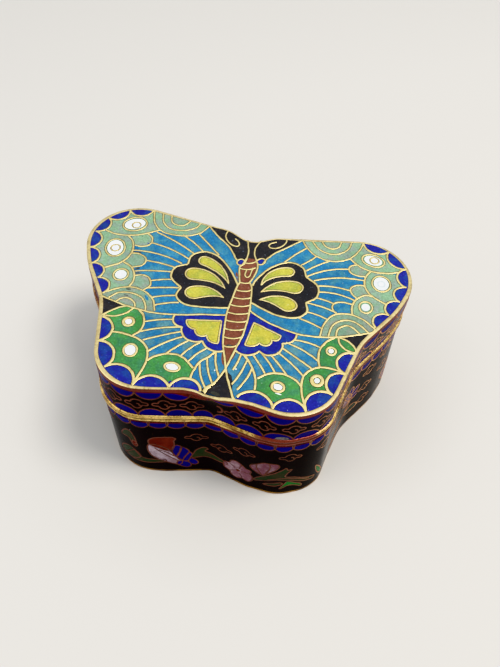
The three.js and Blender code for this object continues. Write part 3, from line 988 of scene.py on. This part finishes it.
def drawBaseWall(wall):
    design = Design()
    pitch = perimeter / wall["scallops"]
    first = wall["scallopPhase"] - pitch * (wall["scallops"] // 2)
    joints = [first + pitch * k for k in range(wall["scallops"] + 1)]
    drawWallScallops(design, wall, joints, True)
    # the first scallop crosses the seam of the sheet, so its enamel is drawn at both ends
    design.cell("deepCobalt", scallop(joints[-1], joints[-1] + pitch, wall["high"], -wall["scallopDepth"]))
    end = perimeter / 2 + pastEnds
    over = wall["high"] + pastEdges
    design.cell("bareCopper", [(-end, wall["bare"]), (end, wall["bare"]), (end, over), (-end, over)])
    quarter = perimeter / 4
    flowers = [(flower, flower["middle"] + quarter * k)
               for flower, turns in ((rose, (-1, 0)), (blossom, (-1, 0, 1))) for k in turns]
    for flower, s in flowers + wall["moreFlowers"]:
        drawFlower(design, flower, s, wall["wire"])
    for k, centre in enumerate(wall["clouds"]):
        drawCloud(design, centre, wall["cloudSize"], wall["cloudWire"], k % 3 == 1)
    return design


lidTopDesign = drawLidTop()
lidWallDesign = drawLidWall(lidWall)
baseWallDesign = drawBaseWall(baseWall)
print("designs drawn:", len(lidTopDesign.wires), len(lidWallDesign.wires), len(baseWallDesign.wires),
      "wires")


def fillSockets(tree, node, values):
    # a value is a plain one or another node's output
    for key, value in values.items():
        socket = node.inputs[key]
        if isinstance(value, bpy.types.NodeSocket):
            tree.links.new(value, socket)
        else:
            socket.default_value = (*value, 1.0) if socket.type == "RGBA" and len(value) == 3 else value


def addNode(tree, kind, settings=None, values=None):
    node = tree.nodes.new(kind)
    for key, setting in (settings or {}).items():
        setattr(node, key, setting)
    fillSockets(tree, node, values or {})
    return node


class Val:
    # a shader value that can be used in sums
    def __init__(self, finish, socket):
        self.finish = finish
        self.socket = socket

    def maths(self, operation, a, b):
        return self.finish.node("ShaderNodeMath", {"operation": operation}, {0: a, 1: b}).out(0)

    def __add__(self, other):
        return self.maths("ADD", self, other)

    def __sub__(self, other):
        return self.maths("SUBTRACT", self, other)

    def __rsub__(self, other):
        return self.maths("SUBTRACT", other, self)

    def __mul__(self, other):
        return self.maths("MULTIPLY", self, other)

    def __lt__(self, other):
        return self.maths("LESS_THAN", self, other)

    __radd__ = __add__
    __rmul__ = __mul__


class Made:
    # a node that has been added, for picking its outputs
    def __init__(self, finish, node):
        self.finish = finish
        self.made = node

    def out(self, name):
        return Val(self.finish, self.made.outputs[name])


class Finish:
    # a material being built
    def __init__(self, name):
        self.material = bpy.data.materials.new(name)
        self.material.use_nodes = True
        self.tree = self.material.node_tree
        self.shader = Made(self, self.tree.nodes["Principled BSDF"])
        self.place = self.node("ShaderNodeTexCoord").out("Object")

    def node(self, kind, settings=None, values=None):
        made = Made(self, addNode(self.tree, kind, settings))
        self.fill(made, values or {})
        return made

    def fill(self, made, values):
        plain = {key: value.socket if isinstance(value, Val) else value for key, value in values.items()}
        fillSockets(self.tree, made.made, plain)

    def attribute(self, name, output="Fac"):
        return self.node("ShaderNodeAttribute", {"attribute_name": name}).out(output)

    def noise(self, scale, detail=3.0, roughness=0.5, place=None):
        values = {"Vector": place or self.place, "Scale": scale, "Detail": detail, "Roughness": roughness}
        return self.node("ShaderNodeTexNoise", None, values).out("Fac")

    def spread(self, value, low, high):
        # 0 below low, 1 above high, smooth between
        return self.node("ShaderNodeMapRange", {"interpolation_type": "SMOOTHSTEP"},
                         {"Value": value, "From Min": low, "From Max": high}).out("Result")

    def most(self, a, b):
        return a.maths("MAXIMUM", a, b)

    def mix(self, amount, a, b, blend="MIX"):
        # sockets 6, 7 and 2 are the node's colours
        settings = {"data_type": "RGBA", "blend_type": blend}
        return self.node("ShaderNodeMix", settings, {0: amount, 6: a, 7: b}).out(2)

    def specks(self, scale, size, share):
        # small round spots, in a share of the cells
        cells = self.node("ShaderNodeTexVoronoi", None, {"Vector": self.place, "Scale": scale})
        chosen = self.node("ShaderNodeSeparateColor", None, {0: cells.out("Color")}).out(0)
        return (1 - self.spread(cells.out("Distance"), size * 0.6, size)) * (chosen < share)

    def stretched(self, x, y, z):
        return self.node("ShaderNodeMapping", None, {"Vector": self.place, "Scale": (x, y, z)}).out(0)

    def bump(self, height, strength, distance):
        values = {"Height": height, "Strength": strength, "Distance": distance}
        return self.node("ShaderNodeBump", None, values).out(0)

    def done(self, sockets):
        self.fill(self.shader, sockets)
        return self.material


enamelLook = {
    "top": {"cloudScale": 330, "grainScale": 2300, "pitScale": 700, "roughness": 0.16, "specular": 0.45,
            "sparkle": 0.3},
    "wall": {"cloudScale": 300, "grainScale": 2300, "pitScale": 520, "roughness": 0.12, "specular": 0.03,
             "sparkle": 0.0},
}


def enamelFinish(name, look):
    f = Finish(name)
    colour, second = (f.attribute(name, "Color") for name in ("cellColour", "cellSecond"))
    amount, shade = (f.attribute(name) for name in ("cellCloud", "cellShade"))
    cloudy = f.spread(f.noise(look["cloudScale"], 4, 0.6), 0.42, 0.64) * amount
    base = f.mix(f.most(cloudy, shade), colour, second)
    tone = f.noise(look["cloudScale"] * 0.35, 3)
    grain = f.noise(look["grainScale"], 2)
    for value, low, high, amount, tint, blend in (
        (tone, 0.5, 0.72, 0.3, (0.78, 0.8, 0.82), "SOFT_LIGHT"),
        (tone, 0.5, 0.28, 0.3, (0.18, 0.18, 0.2), "SOFT_LIGHT"),
        (grain, 0.5, 0.74, 0.4, (0.9, 0.92, 0.95), "SOFT_LIGHT"),
        (grain, 0.5, 0.26, 0.22, (0.0, 0.0, 0.0), "MIX"),
        (grain, 0.66, 0.8, look["sparkle"], (0.3, 0.42, 0.6), "MIX"),
    ):
        base = f.mix(f.spread(value, low, high) * amount, base, tint, blend)
    pits = f.specks(look["pitScale"], 0.13, 0.10)
    base = f.mix(pits * 0.7, base, (0.02, 0.018, 0.02))
    glints = f.specks(look["pitScale"] * 1.3, 0.1, 0.05)
    base = f.mix(glints * 0.45, base, (0.75, 0.8, 0.82))
    scratches = f.spread(f.noise(900, 3, place=f.stretched(0.12, 1.0, 1.0)), 0.6, 0.72)
    waves = f.noise(160, 2)
    roughness = look["roughness"] + 0.14 * f.noise(520, 3) + 0.08 * scratches + 0.4 * pits
    height = waves * 0.6 + grain * 0.08 - pits
    return f.done({"Base Color": base, "Roughness": roughness, "Normal": f.bump(height, 0.35, 0.00012),
                   "Specular IOR Level": look["specular"]})


def counterEnamelFinish():
    f = Finish("counterEnamel")
    cloud = f.spread(f.noise(210, 4, 0.6), 0.4, 0.66)
    base = f.mix(cloud, sRgb(38, 140, 168), sRgb(74, 170, 184))
    base = f.mix(f.specks(620, 0.2, 0.3) * 0.6, base, sRgb(16, 74, 112))
    peel = f.noise(420, 2)
    return f.done({"Base Color": base, "Roughness": 0.16 + 0.12 * peel, "Normal": f.bump(peel, 0.4, 0.0002)})


giltLook = {
    "border": {"bright": sRgb(250, 231, 172), "dull": sRgb(200, 174, 116), "roughness": 0.22,
               "tarnish": 0.5},
    "bandSide": {"bright": sRgb(128, 56, 46), "dull": sRgb(86, 34, 32), "roughness": 0.4, "tarnish": 0.8,
                 "metal": 0.5},
    # the foot's gilt is darker than the rim's
    "foot": {"bright": sRgb(176, 134, 78), "dull": sRgb(84, 54, 40), "roughness": 0.4, "tarnish": 0.9},
    "rim": {"bright": sRgb(244, 210, 132), "dull": sRgb(124, 86, 42), "roughness": 0.2, "tarnish": 0.85,
            "scratch": 0.00016, "grain": 1.0, "grainScale": 2600},
    "wire": {"bright": sRgb(250, 235, 170), "dull": sRgb(220, 194, 122), "roughness": 0.34, "tarnish": 0.5},
    # painted reflection: the walls' gilt wires are coloured dark red, as gilt mirroring a dark red surround
    # looks
    "copper": {"bright": sRgb(124, 74, 64), "dull": sRgb(72, 38, 36), "roughness": 0.45, "tarnish": 0.9,
               # painted light: the wall wires lighter towards the right wing, where the light falls
               "metal": 0.7, "litSide": (0.018, 0.034), "litSideColour": sRgb(244, 182, 130)},
    "bare": sRgb(118, 52, 38),       # copper where the gilding has worn through, and the painted dark reflection on the base rim's right flank
    # painted shade for the line where the rim's two beads meet
    "seamShade": sRgb(62, 44, 30),
}


def giltFinish(name, look, grain=(1.0, 1.0, 1.0), wornAndShaded=False):
    f = Finish(name)
    wear = f.spread(f.noise(260, 5, 0.65), 0.4, 0.68) * look["tarnish"]
    base = f.mix(wear, look["bright"], look["dull"])
    if "litSide" in look:
        # painted light: the wires are made lighter towards the right wing, where the light falls on them
        across = f.node("ShaderNodeSeparateXYZ", None, {0: f.place}).out("X")
        base = f.mix(f.spread(across, *look["litSide"]) * (0.4 + 0.6 * wear), base, look["litSideColour"])
    fine = f.noise(look.get("grainScale", 1500), 4, 0.6, f.stretched(*grain))
    base = f.mix(f.spread(fine, 0.52, 0.25) * look.get("grain", 0.35), base, sRgb(96, 62, 40))
    metal = look.get("metal", 1.0)
    if wornAndShaded:
        # worn-through gilding, and on the base rim's right flank a painted dark reflection
        bare = f.spread(f.attribute("wornAndShaded") + 0.5 * f.noise(420, 4, 0.6), 0.55, 0.95)
        base = f.mix(bare, base, giltLook["bare"])
        # painted shade darkens the join of the rim's two beads
        base = f.mix(0.9 * f.attribute("seamShadeAmount"), base, giltLook["seamShade"])
        metal = 1 - 0.6 * bare
    roughness = look["roughness"] + 0.22 * fine - 0.08 * wear
    scratched = f.bump(fine, 0.4, look.get("scratch", 0.00006))
    return f.done({"Base Color": base, "Metallic": metal, "Roughness": roughness, "Normal": scratched})


def solderFinish():
    f = Finish("darkSolderLine")
    base = f.mix(f.noise(900, 2), sRgb(40, 28, 24), sRgb(92, 66, 48))
    return f.done({"Base Color": base, "Roughness": 0.5 + 0.2 * f.noise(1400, 2)})


finishes = {
    "top": enamelFinish("lidTopEnamel", enamelLook["top"]),
    "wall": enamelFinish("wallEnamel", enamelLook["wall"]),
    "counter": counterEnamelFinish(),
    "border": giltFinish("giltBorder", giltLook["border"]),
    "bandSide": giltFinish("copperyBandSide", giltLook["bandSide"]),
    "foot": giltFinish("darkFootGilt", giltLook["foot"], (0.3, 0.3, 1.6), True),
    "rim": giltFinish("giltRim", giltLook["rim"], (0.8, 0.8, 1.2), True),
    "wire": giltFinish("giltWire", giltLook["wire"]),
    "copper": giltFinish("wallWireRedReflectionFinish", giltLook["copper"]),
    "solder": solderFinish(),
}
print("finishes made")


def newObject(name, data):
    thing = bpy.data.objects.new(name, data)
    bpy.context.scene.collection.objects.link(thing)
    return thing


def finishPiece(thing, slot, *nodes):
    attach(thing, "root")
    if nodes:
        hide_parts(*nodes)
    return thing


def sharpen(mesh, degrees=35):
    mesh.shade_smooth()
    mesh.set_sharp_from_angle(angle=math.radians(degrees))


def loft(profile, ripple=None):
    # rings of points round the outline for a profile of (offset, height)
    rings = []
    for k, (offset, height) in enumerate(profile):
        shift = ripple(k) if ripple else 0.0
        x, y, _, _ = alongWall(ringRuns, offset + shift, height)
        rings.append(np.column_stack([x, y, np.full(len(ringRuns), height)]))
    return rings


def bandFaces(count, rings, closed):
    # four-cornered faces between neighbouring rings
    faces = []
    for band in range(rings if closed else rings - 1):
        low, high = band * count, (band + 1) % rings * count
        for i in range(count):
            j = (i + 1) % count
            faces.append((low + i, low + j, high + j, high + i))
    return faces


def ringMesh(name, profile, ripple=None):
    # a closed band: up the outside and down the inside of its profile
    points = np.vstack(loft(profile, ripple)) * mm
    mesh = bpy.data.meshes.new(name)
    mesh.from_pydata(points.tolist(), [], bandFaces(len(ringRuns), len(profile), True))
    sharpen(mesh)
    return mesh


def shellData(profile):
    # a closed shell with a flat cap at each end of its profile
    first = range(len(ringRuns))
    last = (len(profile) - 1) * len(ringRuns)
    caps = [tuple(first)[::-1], tuple(last + i for i in first)]
    return np.vstack(loft(profile)), bandFaces(len(ringRuns), len(profile), False) + caps


def quarterRound(offset, height, across, up, start, end, steps=6):
    angles = [math.radians(start + (end - start) * k / steps) for k in range(steps + 1)]
    return [(offset + across * math.cos(a), height + up * math.sin(a)) for a in angles]


def oriented(path):
    area = sum(x0 * y1 - x1 * y0 for (x0, y0), (x1, y1) in zip(path, path[1:] + path[:1]))
    return path if area > 0 else path[::-1]


def tiled(border, cells, extra=()):
    # cuts the bordered sheet along every cell's edge, and gives each triangle its topmost cell's enamel
    points = []
    faces = []
    for path in [border] + [path for _, path in cells]:
        path = oriented(list(path))
        faces.append(list(range(len(points), len(points) + len(path))))
        points += [Vector(p) for p in path]
    points += [Vector(p) for p in extra]
    corners, _, triangles, _, _, owners = geometry.delaunay_2d_cdt(points, [], faces, 1, 1e-5)
    kept = [(t, max(owner)) for t, owner in zip(triangles, owners) if 0 in owner]
    names = [cells[top - 1][0] if top else None for _, top in kept]
    return corners, [t for t, _ in kept], names


def slabData(corners, triangles, place, depth, seam=None):
    # gives a tiled sheet its thickness. place maps across, up and height to the box
    used = sorted({i for t in triangles for i in t})
    number = {old: new for new, old in enumerate(used)}
    flat = np.array([corners[i] for i in used])
    count = len(used)
    points = np.vstack([place(flat[:, 0], flat[:, 1], 0.0), place(flat[:, 0], flat[:, 1], -depth)])
    top = [tuple(number[i] for i in t) for t in triangles]
    edges = dict.fromkeys((a, b) for t in top for a, b in zip(t, t[1:] + t[:1]))
    rim = []
    for a, b in edges:
        onSeam = seam is not None and all(abs(abs(flat[i, 0]) - seam) < 1e-4 for i in (a, b))
        if (b, a) not in edges and not onSeam:
            rim.append((b, a, a + count, b + count))
    under = [tuple(i + count for i in t[::-1]) for t in top]
    return points, top, under + rim


def shadeAt(enamel, point):
    # the yellow drops turn green towards their tips
    if enamel != "yellow":
        return 0.0
    reach = min(math.dist(tip, point) for wing in (leftWing, rightWing) for tip, *_ in wing["drops"])
    return max(0.0, 1 - reach / lidTop["dropShade"])


def setLayer(mesh, name, values, domain="POINT"):
    values = np.array(values, np.float32)
    kind, field = ("FLOAT_COLOR", "color") if values.ndim == 2 else ("FLOAT", "value")
    mesh.attributes.new(name, kind, domain).data.foreach_set(field, values.ravel())


def buildShell(name, body, slabs):
    # one mesh: the metal body with its plain enamel, and the slabs of patterned enamel laid on it
    points, faces = body
    allPoints = [points]
    allFaces = list(faces)
    enamels = [None] * len(faces)
    slots = [2] * len(faces)
    offset = len(points)
    for slabPoints, top, rest, names, plain, slot in slabs:
        allPoints.append(slabPoints)
        allFaces += [tuple(i + offset for i in f) for f in top + rest]
        enamels += [n or plain for n in names] + [plain] * len(rest)
        slots += [slot] * len(top + rest)
        offset += len(slabPoints)
    mesh = bpy.data.meshes.new(name)
    mesh.from_pydata((np.vstack(allPoints) * mm).tolist(), [], allFaces)
    for finish in ("top", "wall", "counter"):
        mesh.materials.append(finishes[finish])
    layers = {"cellColour": [], "cellSecond": [], "cellCloud": [], "cellShade": []}
    for face, enamel, slot in zip(mesh.polygons, enamels, slots):
        face.material_index = slot
        main, second, cloudiness = palette[enamel or "black"]
        for corner in face.vertices:
            shade = shadeAt(enamel, mesh.vertices[corner].co.xy / mm)
            for layer, value in zip(layers.values(), ((*main, 1.0), (*second, 1.0), cloudiness, shade)):
                layer.append(value)
    for layer, values in layers.items():
        setLayer(mesh, layer, values, "CORNER")
    sharpen(mesh)
    return newObject(name, mesh)


heights = {
    "underside": 0.5,
    "foot": 0.9,
    "floor": 2.5,
    "baseRim": 26.2,
    "joint": 27.3,
    "lidWall": 28.5,
    "bandFoot": 37.7,
    "ceiling": 36.8,
    "top": 39.0,
}
walls = {
    "base": 2.1,
    "lid": 1.8,
    "enamel": 0.6,
    "border": 1.05,
    "underBorder": 0.3,
    "collar": 0.7,
    "fillet": 1.2,
    "proud": 0.45,           # how far a rim's bead stands out
    "seam": 0.32,            # how far from the joint its painted shade reaches
    "enamelSink": 0.03,
    "collarBelow": 4.8,      # from the joint down and up
    "collarAbove": 4.7,
    "footRound": 0.25,
    "footRipple": 0.02,
}
# the sheet of a wall, before cells cut it
wallGrid = {
    "columns": 290,
    "rowStep": 1.3,
}


def onTop(x, y, height):
    # the top follows the border where it strays at the tail
    follow = np.clip((lidTop["bentFrom"] - y) / lidTop["bentOver"], 0, 1) * sway(x, heights["top"])
    return np.column_stack([x, y - follow, np.full(len(x), heights["top"] - walls["enamelSink"]) + height])


def onWall(across, up, height):
    x, y, _, _ = alongWall(across, height, up)
    return np.column_stack([x, y, up])


def wallSlab(wall, design):
    half = perimeter / 2
    columns = np.linspace(-half, half, wallGrid["columns"]).tolist()
    count = round((wall["high"] - wall["low"]) / wallGrid["rowStep"])
    rows = np.linspace(wall["low"], wall["high"], count).tolist()
    border = [(s, wall["low"]) for s in columns] + [(s, wall["high"]) for s in columns[::-1]]
    # whatever crosses the short ends does so at one height on both, so that they can be welded
    extra = [(s, z) for s in columns[1:-1] for z in rows[1:-1]]
    corners, triangles, names = tiled(border, design.cells, extra)
    return *slabData(corners, triangles, onWall, walls["enamel"], half), names, "wallBlack", 1


def weld(thing, distance=1e-7):
    work = bmesh.new()
    work.from_mesh(thing.data)
    bmesh.ops.remove_doubles(work, verts=work.verts, dist=distance)
    work.to_mesh(thing.data)
    work.free()


def makeLidShell():
    inner = walls["enamel"]
    wall, fillet = walls["lid"], walls["fillet"]
    profile = quarterRound(-wall - fillet, heights["ceiling"] - fillet, fillet, fillet, 90, 0)
    profile += [(-wall, heights["lidWall"]), (-inner, heights["lidWall"]), (-inner, heights["bandFoot"]),
                (-walls["border"], heights["bandFoot"]),
                (-walls["border"], heights["top"] - walls["enamelSink"] - 0.5 * inner)]
    x, y, _, _ = alongWall(ringRuns, -walls["underBorder"])
    corners, triangles, names = tiled(list(zip(x.tolist(), y.tolist())), lidTopDesign.cells)
    top = (*slabData(corners, triangles, onTop, inner), names, "foreBlue", 0)
    thing = buildShell("lid_shell_enamel", shellData(profile), [top, wallSlab(lidWall, lidWallDesign)])
    weld(thing)
    return finishPiece(thing, "lid_enamel", "lid_shell")


def makeBaseShell():
    inner = walls["enamel"]
    wall, fillet = walls["base"], walls["fillet"]
    profile = [(-wall, heights["underside"]), (-wall, heights["foot"]), (-inner, heights["foot"]),
               (-inner, heights["baseRim"]), (-wall, heights["baseRim"])]
    profile += quarterRound(-wall - fillet, heights["floor"] + fillet, fillet, fillet, 0, -90)
    thing = buildShell("base_shell_enamel", shellData(profile), [wallSlab(baseWall, baseWallDesign)])
    weld(thing)
    return finishPiece(thing, "base_enamel", "base_shell")


print("laying enamel")
lidShell = makeLidShell()
baseShell = makeBaseShell()
print("enamel laid:", len(lidShell.data.polygons), len(baseShell.data.polygons), "faces")


wander = {
    "waves": 9,
    "turns": (3, 60),        # of each wave round the box
    "strength": (0.3, 1),
    "twist": 0.6,            # from one line of a profile to the next
    "share": 0.2,
}


def handmade(size, seed):
    # a slow wander of a rim's surface, the same each time, that closes round the box
    rng = random.Random(seed)
    waves = [(rng.randint(*wander["turns"]), rng.uniform(0, 2 * math.pi), rng.uniform(*wander["strength"]))
             for _ in range(wander["waves"])]

    def ripple(k):
        around = 2 * math.pi * ringRuns / perimeter
        total = sum(strength * np.sin(turns * around + phase + wander["twist"] * k)
                    for turns, phase, strength in waves)
        return size * wander["share"] * total

    return ripple


# where the gilding has worn through, and on the base rim's right flank a painted dark reflection, by distance
# from the tail notch
rimWearAndShade = {
    "base_rim": [(-84, 0), (-70, 0.6), (-48, 0.6), (-40, 0), (2, 0), (8, 0.75), (12, 0.9), (25, 0.9),
                 (32, 0.8), (72, 0.7), (84, 0)],
    "lid_rim": [(-84, 0), (-70, 0.55), (-50, 0.55), (-43, 0), (8, 0), (13, 0.7), (16, 0.9), (24, 0.9),
                (28, 0)],
    "foot_rim": [(-40, 0.5), (-10, 0.35), (12, 0.1), (30, 0.2), (45, 0.4)],
}
bead = {
    "step": 15,            # degrees
    "flattened": 0.8,      # a half round that polishing has made a little flat
    "ripple": 0.05,
}


def makeStrip(name, profile, finish, node, ripple=None):
    mesh = ringMesh(name, profile, ripple)
    mesh.materials.append(finishes[finish])
    if node in rimWearAndShade:
        places, values = zip(*rimWearAndShade[node])
        setLayer(mesh, "wornAndShaded", np.tile(np.interp(fromTail(ringRuns), places, values), len(profile)))
    return finishPiece(newObject(name, mesh), "gilt", node)


def makeRim(name, low, high, wall, node, seed):
    halfway, half = (low + high) / 2, (high - low) / 2
    angles = [math.radians(angle) for angle in range(-90, 91, bead["step"])]
    profile = [(walls["proud"] * max(0.0, math.cos(a)) ** bead["flattened"], halfway + half * math.sin(a))
               for a in angles] + [(-wall, high), (-wall, low)]
    rim = makeStrip(name, profile, "rim", node, handmade(bead["ripple"], seed))
    # painted shade: the line where the two beads meet is darkened
    seamShade = [max(0.0, 1 - abs(z - heights["joint"]) / walls["seam"]) for _, z in profile]
    setLayer(rim.data, "seamShadeAmount", np.repeat(seamShade, len(ringRuns)))


def makeBorder():
    high, low = heights["top"], heights["bandFoot"]
    corner = lidBorder["corner"]
    outer = [(0.0, low)] + quarterRound(-corner, high - corner, corner, corner, 0, 90, 4)
    inner = [(offset, high + up) for offset, up in lidBorder["innerEdge"]]
    wobble = handmade(lidBorder["ripple"], seed=5)
    width = borderWidth(ringRuns)

    def ripple(k):
        # the inner edge follows the border's varying width
        return wobble(0) - width if len(outer) <= k < len(outer) + len(inner) else 0.0

    profile = outer + inner + [(-walls["border"], low)]
    border = makeStrip("lid_border", profile, "border", "lid_edge_band", ripple)
    for finish in ("bandSide", "solder"):
        border.data.materials.append(finishes[finish])
    # the lowest bands stand on the side, and the ones past the inner edge's crest are solder
    for face in border.data.polygons:
        band = face.index // len(ringRuns)
        face.material_index = 1 if band < 2 else 2 if band > len(outer) + 1 else 0


def makeFoot():
    wall, r = walls["base"], walls["footRound"]
    profile = quarterRound(-r, r, r, r, -90, 0, 4)
    profile += [(0.0, heights["foot"]), (-wall, heights["foot"]), (-wall, 0.0)]
    makeStrip("foot_strip", profile, "foot", "foot_rim", handmade(walls["footRipple"], seed=11))


def makeCollar():
    outer = -walls["base"]
    inner = outer - walls["collar"]
    low, high = heights["joint"] - walls["collarBelow"], heights["joint"] + walls["collarAbove"]
    lead = walls["collar"] / 2
    rounded = quarterRound(outer - lead, high - lead, lead, lead, 0, 90, 4)[1:]
    makeStrip("collar_strip", [(outer, low), (outer, high - lead), *rounded, (inner, high), (inner, low)],
              "rim", "base_collar")


makeRim("base_rim_bead", heights["baseRim"], heights["joint"], walls["base"], "base_rim", seed=3)
makeRim("lid_rim_bead", heights["joint"], heights["lidWall"], walls["lid"], "lid_rim", seed=4)
makeBorder()
makeFoot()
makeCollar()
print("rims and collar made")


wireSockets = {
    "Geometry": ["Curves"],
    "Float": ["Step", "Wander", "Pinch", "Bend Scale", "Flatness", "Solder Reach", "Solder Flatness"],
    "Int": ["Sides", "Solder Sides"],
    "Material": ["Wire", "Solder"],
}


def wireTree():
    # bends each curve a little, then sweeps it into a flat wire with a dark line of solder on both sides
    tree = bpy.data.node_groups.new("sweptWire", "GeometryNodeTree")
    for kind, names in wireSockets.items():
        for name in names:
            tree.interface.new_socket(name, in_out="INPUT", socket_type="NodeSocket" + kind)
    tree.interface.new_socket("Mesh", in_out="OUTPUT", socket_type="NodeSocketGeometry")

    def add(kind, settings=None, values=None):
        return addNode(tree, kind, settings, values).outputs

    def maths(operation, a, b):
        return add("ShaderNodeMath", {"operation": operation}, {0: a, 1: b})[0]

    given = add("NodeGroupInput")
    paths = add("GeometryNodeResampleCurve", {"mode": "LENGTH"},
                {"Curve": given["Curves"], "Length": given["Step"]})[0]
    place = add("GeometryNodeInputPosition")[0]
    noise = add("ShaderNodeTexNoise", None, {"Vector": place, "Scale": given["Bend Scale"], "Detail": 2.0})
    stray = add("ShaderNodeVectorMath", {"operation": "SUBTRACT"},
                {0: noise["Color"], 1: (0.5, 0.5, 0.5)})[0]
    reach = add("ShaderNodeCombineXYZ", None, {"X": given["Wander"], "Y": given["Wander"], "Z": 0.0})[0]
    stray = add("ShaderNodeVectorMath", {"operation": "MULTIPLY"}, {0: stray, 1: reach})[0]
    paths = add("GeometryNodeSetPosition", None, {"Geometry": paths, "Offset": stray})[0]
    paths = add("GeometryNodeSetCurveNormal", {"mode": "Z_UP"}, {"Curve": paths})[0]
    pinch = maths("MULTIPLY", maths("SUBTRACT", noise["Fac"], 0.5), given["Pinch"])
    half = maths("MULTIPLY", add("GeometryNodeInputRadius")[0], maths("ADD", pinch, 1.0))
    parts = []
    for name, size in (("", half), ("Solder ", maths("ADD", half, given["Solder Reach"]))):
        ring = add("GeometryNodeCurvePrimitiveCircle", None,
                   {"Resolution": given[name + "Sides"], "Radius": 1.0})[0]
        scale = add("ShaderNodeCombineXYZ", None, {"X": 1.0, "Y": given[name + "Flatness"], "Z": 1.0})[0]
        profile = add("GeometryNodeTransform", None, {"Geometry": ring, "Scale": scale})[0]
        swept = add("GeometryNodeCurveToMesh", None,
                    {"Curve": paths, "Profile Curve": profile, "Scale": size, "Fill Caps": True})[0]
        shaded = add("GeometryNodeSetShadeSmooth", None, {"Geometry": swept})[0]
        metal = given[name.strip() or "Wire"]
        parts.append(add("GeometryNodeSetMaterial", None, {"Geometry": shaded, "Material": metal})[0])
    both = tree.nodes.new("GeometryNodeJoinGeometry")
    for part in parts:
        tree.links.new(part, both.inputs[0])
    real = add("GeometryNodeRealizeInstances", None, {"Geometry": both.outputs[0]})[0]
    tree.links.new(real, tree.nodes.new("NodeGroupOutput").inputs[0])
    return tree


sweptWire = wireTree()


def sweepWires(name, design, look, place):
    # the wires are swept flat, then laid on the box by place
    data = bpy.data.curves.new(name + "_paths", "CURVE")
    data.dimensions = "3D"
    for path, width, closed in design.wires:
        spline = data.splines.new("POLY")
        spline.points.add(len(path) - 1)
        for point, (x, y) in zip(spline.points, path):
            point.co = (x * mm, y * mm, 0, 1)
            point.radius = width / 2 * mm
        spline.use_cyclic_u = closed
    source = newObject(name + "_paths", data)
    modifier = source.modifiers.new("swept", "NODES")
    modifier.node_group = sweptWire
    settings = wireLook["every"] | wireLook[look]
    for item in sweptWire.interface.items_tree:
        if item.name in settings:
            modifier[item.identifier] = settings[item.name]
    graph = bpy.context.evaluated_depsgraph_get()
    mesh = bpy.data.meshes.new_from_object(source.evaluated_get(graph), depsgraph=graph)
    bpy.data.objects.remove(source)
    mesh.name = name
    flat = np.zeros(len(mesh.vertices) * 3)
    mesh.vertices.foreach_get("co", flat)
    flat = flat.reshape(-1, 3) / mm
    mesh.vertices.foreach_set("co", (place(*flat.T) * mm).ravel())
    mesh.update()
    thing = newObject(name, mesh)
    print(name, "has", sum(face.loop_total - 2 for face in mesh.polygons), "triangles")
    return finishPiece(thing, "gilt")


wireLook = {
    "every": {"Bend Scale": 700.0, "Flatness": 0.3, "Solder Flatness": 0.1, "Solder Sides": 6,
              "Solder": finishes["solder"]},
    "top": {"Step": 0.27 * mm, "Wander": 0.24 * mm, "Pinch": 0.7, "Sides": 8, "Solder Reach": 0.085 * mm,
            "Wire": finishes["wire"]},
    "wall": {"Step": 0.32 * mm, "Wander": 0.16 * mm, "Pinch": 0.6, "Sides": 6, "Solder Reach": 0.04 * mm,
             "Wire": finishes["copper"]},
}
sweepWires("lid_top_wires", lidTopDesign, "top", onTop)
sweepWires("lid_wall_wires", lidWallDesign, "wall", onWall)
sweepWires("base_wall_wires", baseWallDesign, "wall", onWall)
print("wires swept")


studio = {
    "floor": 3.0,          # half the floor's width, in metres
    "floorColour": sRgb(206, 203, 198),
    "overhead": (0.96, 0.98, 1.0),
    "horizon": (0.46, 0.47, 0.5),
    "fadeEnd": 0.8,
    "strength": 0.9,
    "aim": (0, 0, 0.02),
    # name, place, size, power, colour
    "lights": [
        ("window", (0.32, 0.0, 0.74), 0.3, 4.3, (1.0, 0.97, 0.92)),
        ("fill", (-0.6, -0.35, 0.5), 0.7, 2.0, (0.95, 0.97, 1.0)),
    ],
}


def makeStage(look):
    mesh = bpy.data.meshes.new("floor")
    corners = [(x * look["floor"], y * look["floor"], 0) for x, y in ((-1, -1), (1, -1), (1, 1), (-1, 1))]
    mesh.from_pydata(corners, [], [(0, 1, 2, 3)])
    mesh.materials.append(Finish("paleFloor").done({"Base Color": look["floorColour"], "Roughness": 0.85}))
    floor = newObject("floor", mesh)


def addLight(aim, name, place, size, power, colour):
    data = bpy.data.lights.new(name, "AREA")
    data.shape = "DISK"
    data.size = size
    data.energy = power
    data.color = colour
    light = newObject(name, data)
    light.location = place
    light.rotation_euler = (Vector(aim) - Vector(place)).to_track_quat("-Z", "Y").to_euler()


def makeLight(look):
    world = bpy.data.worlds.new("studio")
    world.use_nodes = True
    tree = world.node_tree
    direction = addNode(tree, "ShaderNodeTexCoord").outputs["Generated"]
    up = addNode(tree, "ShaderNodeSeparateXYZ", None, {0: direction}).outputs["Z"]
    sky = addNode(tree, "ShaderNodeValToRGB", None, {0: up})
    horizon, overhead = sky.color_ramp.elements
    horizon.color = (*look["horizon"], 1)
    overhead.color = (*look["overhead"], 1)
    overhead.position = look["fadeEnd"]
    fillSockets(tree, tree.nodes["Background"], {"Color": sky.outputs[0], "Strength": look["strength"]})
    bpy.context.scene.world = world
    for light in look["lights"]:
        addLight(look["aim"], *light)
    bpy.context.scene.view_settings.view_transform = "Khronos PBR Neutral"


makeStage(studio)
makeLight(studio)
print("stage and light set")
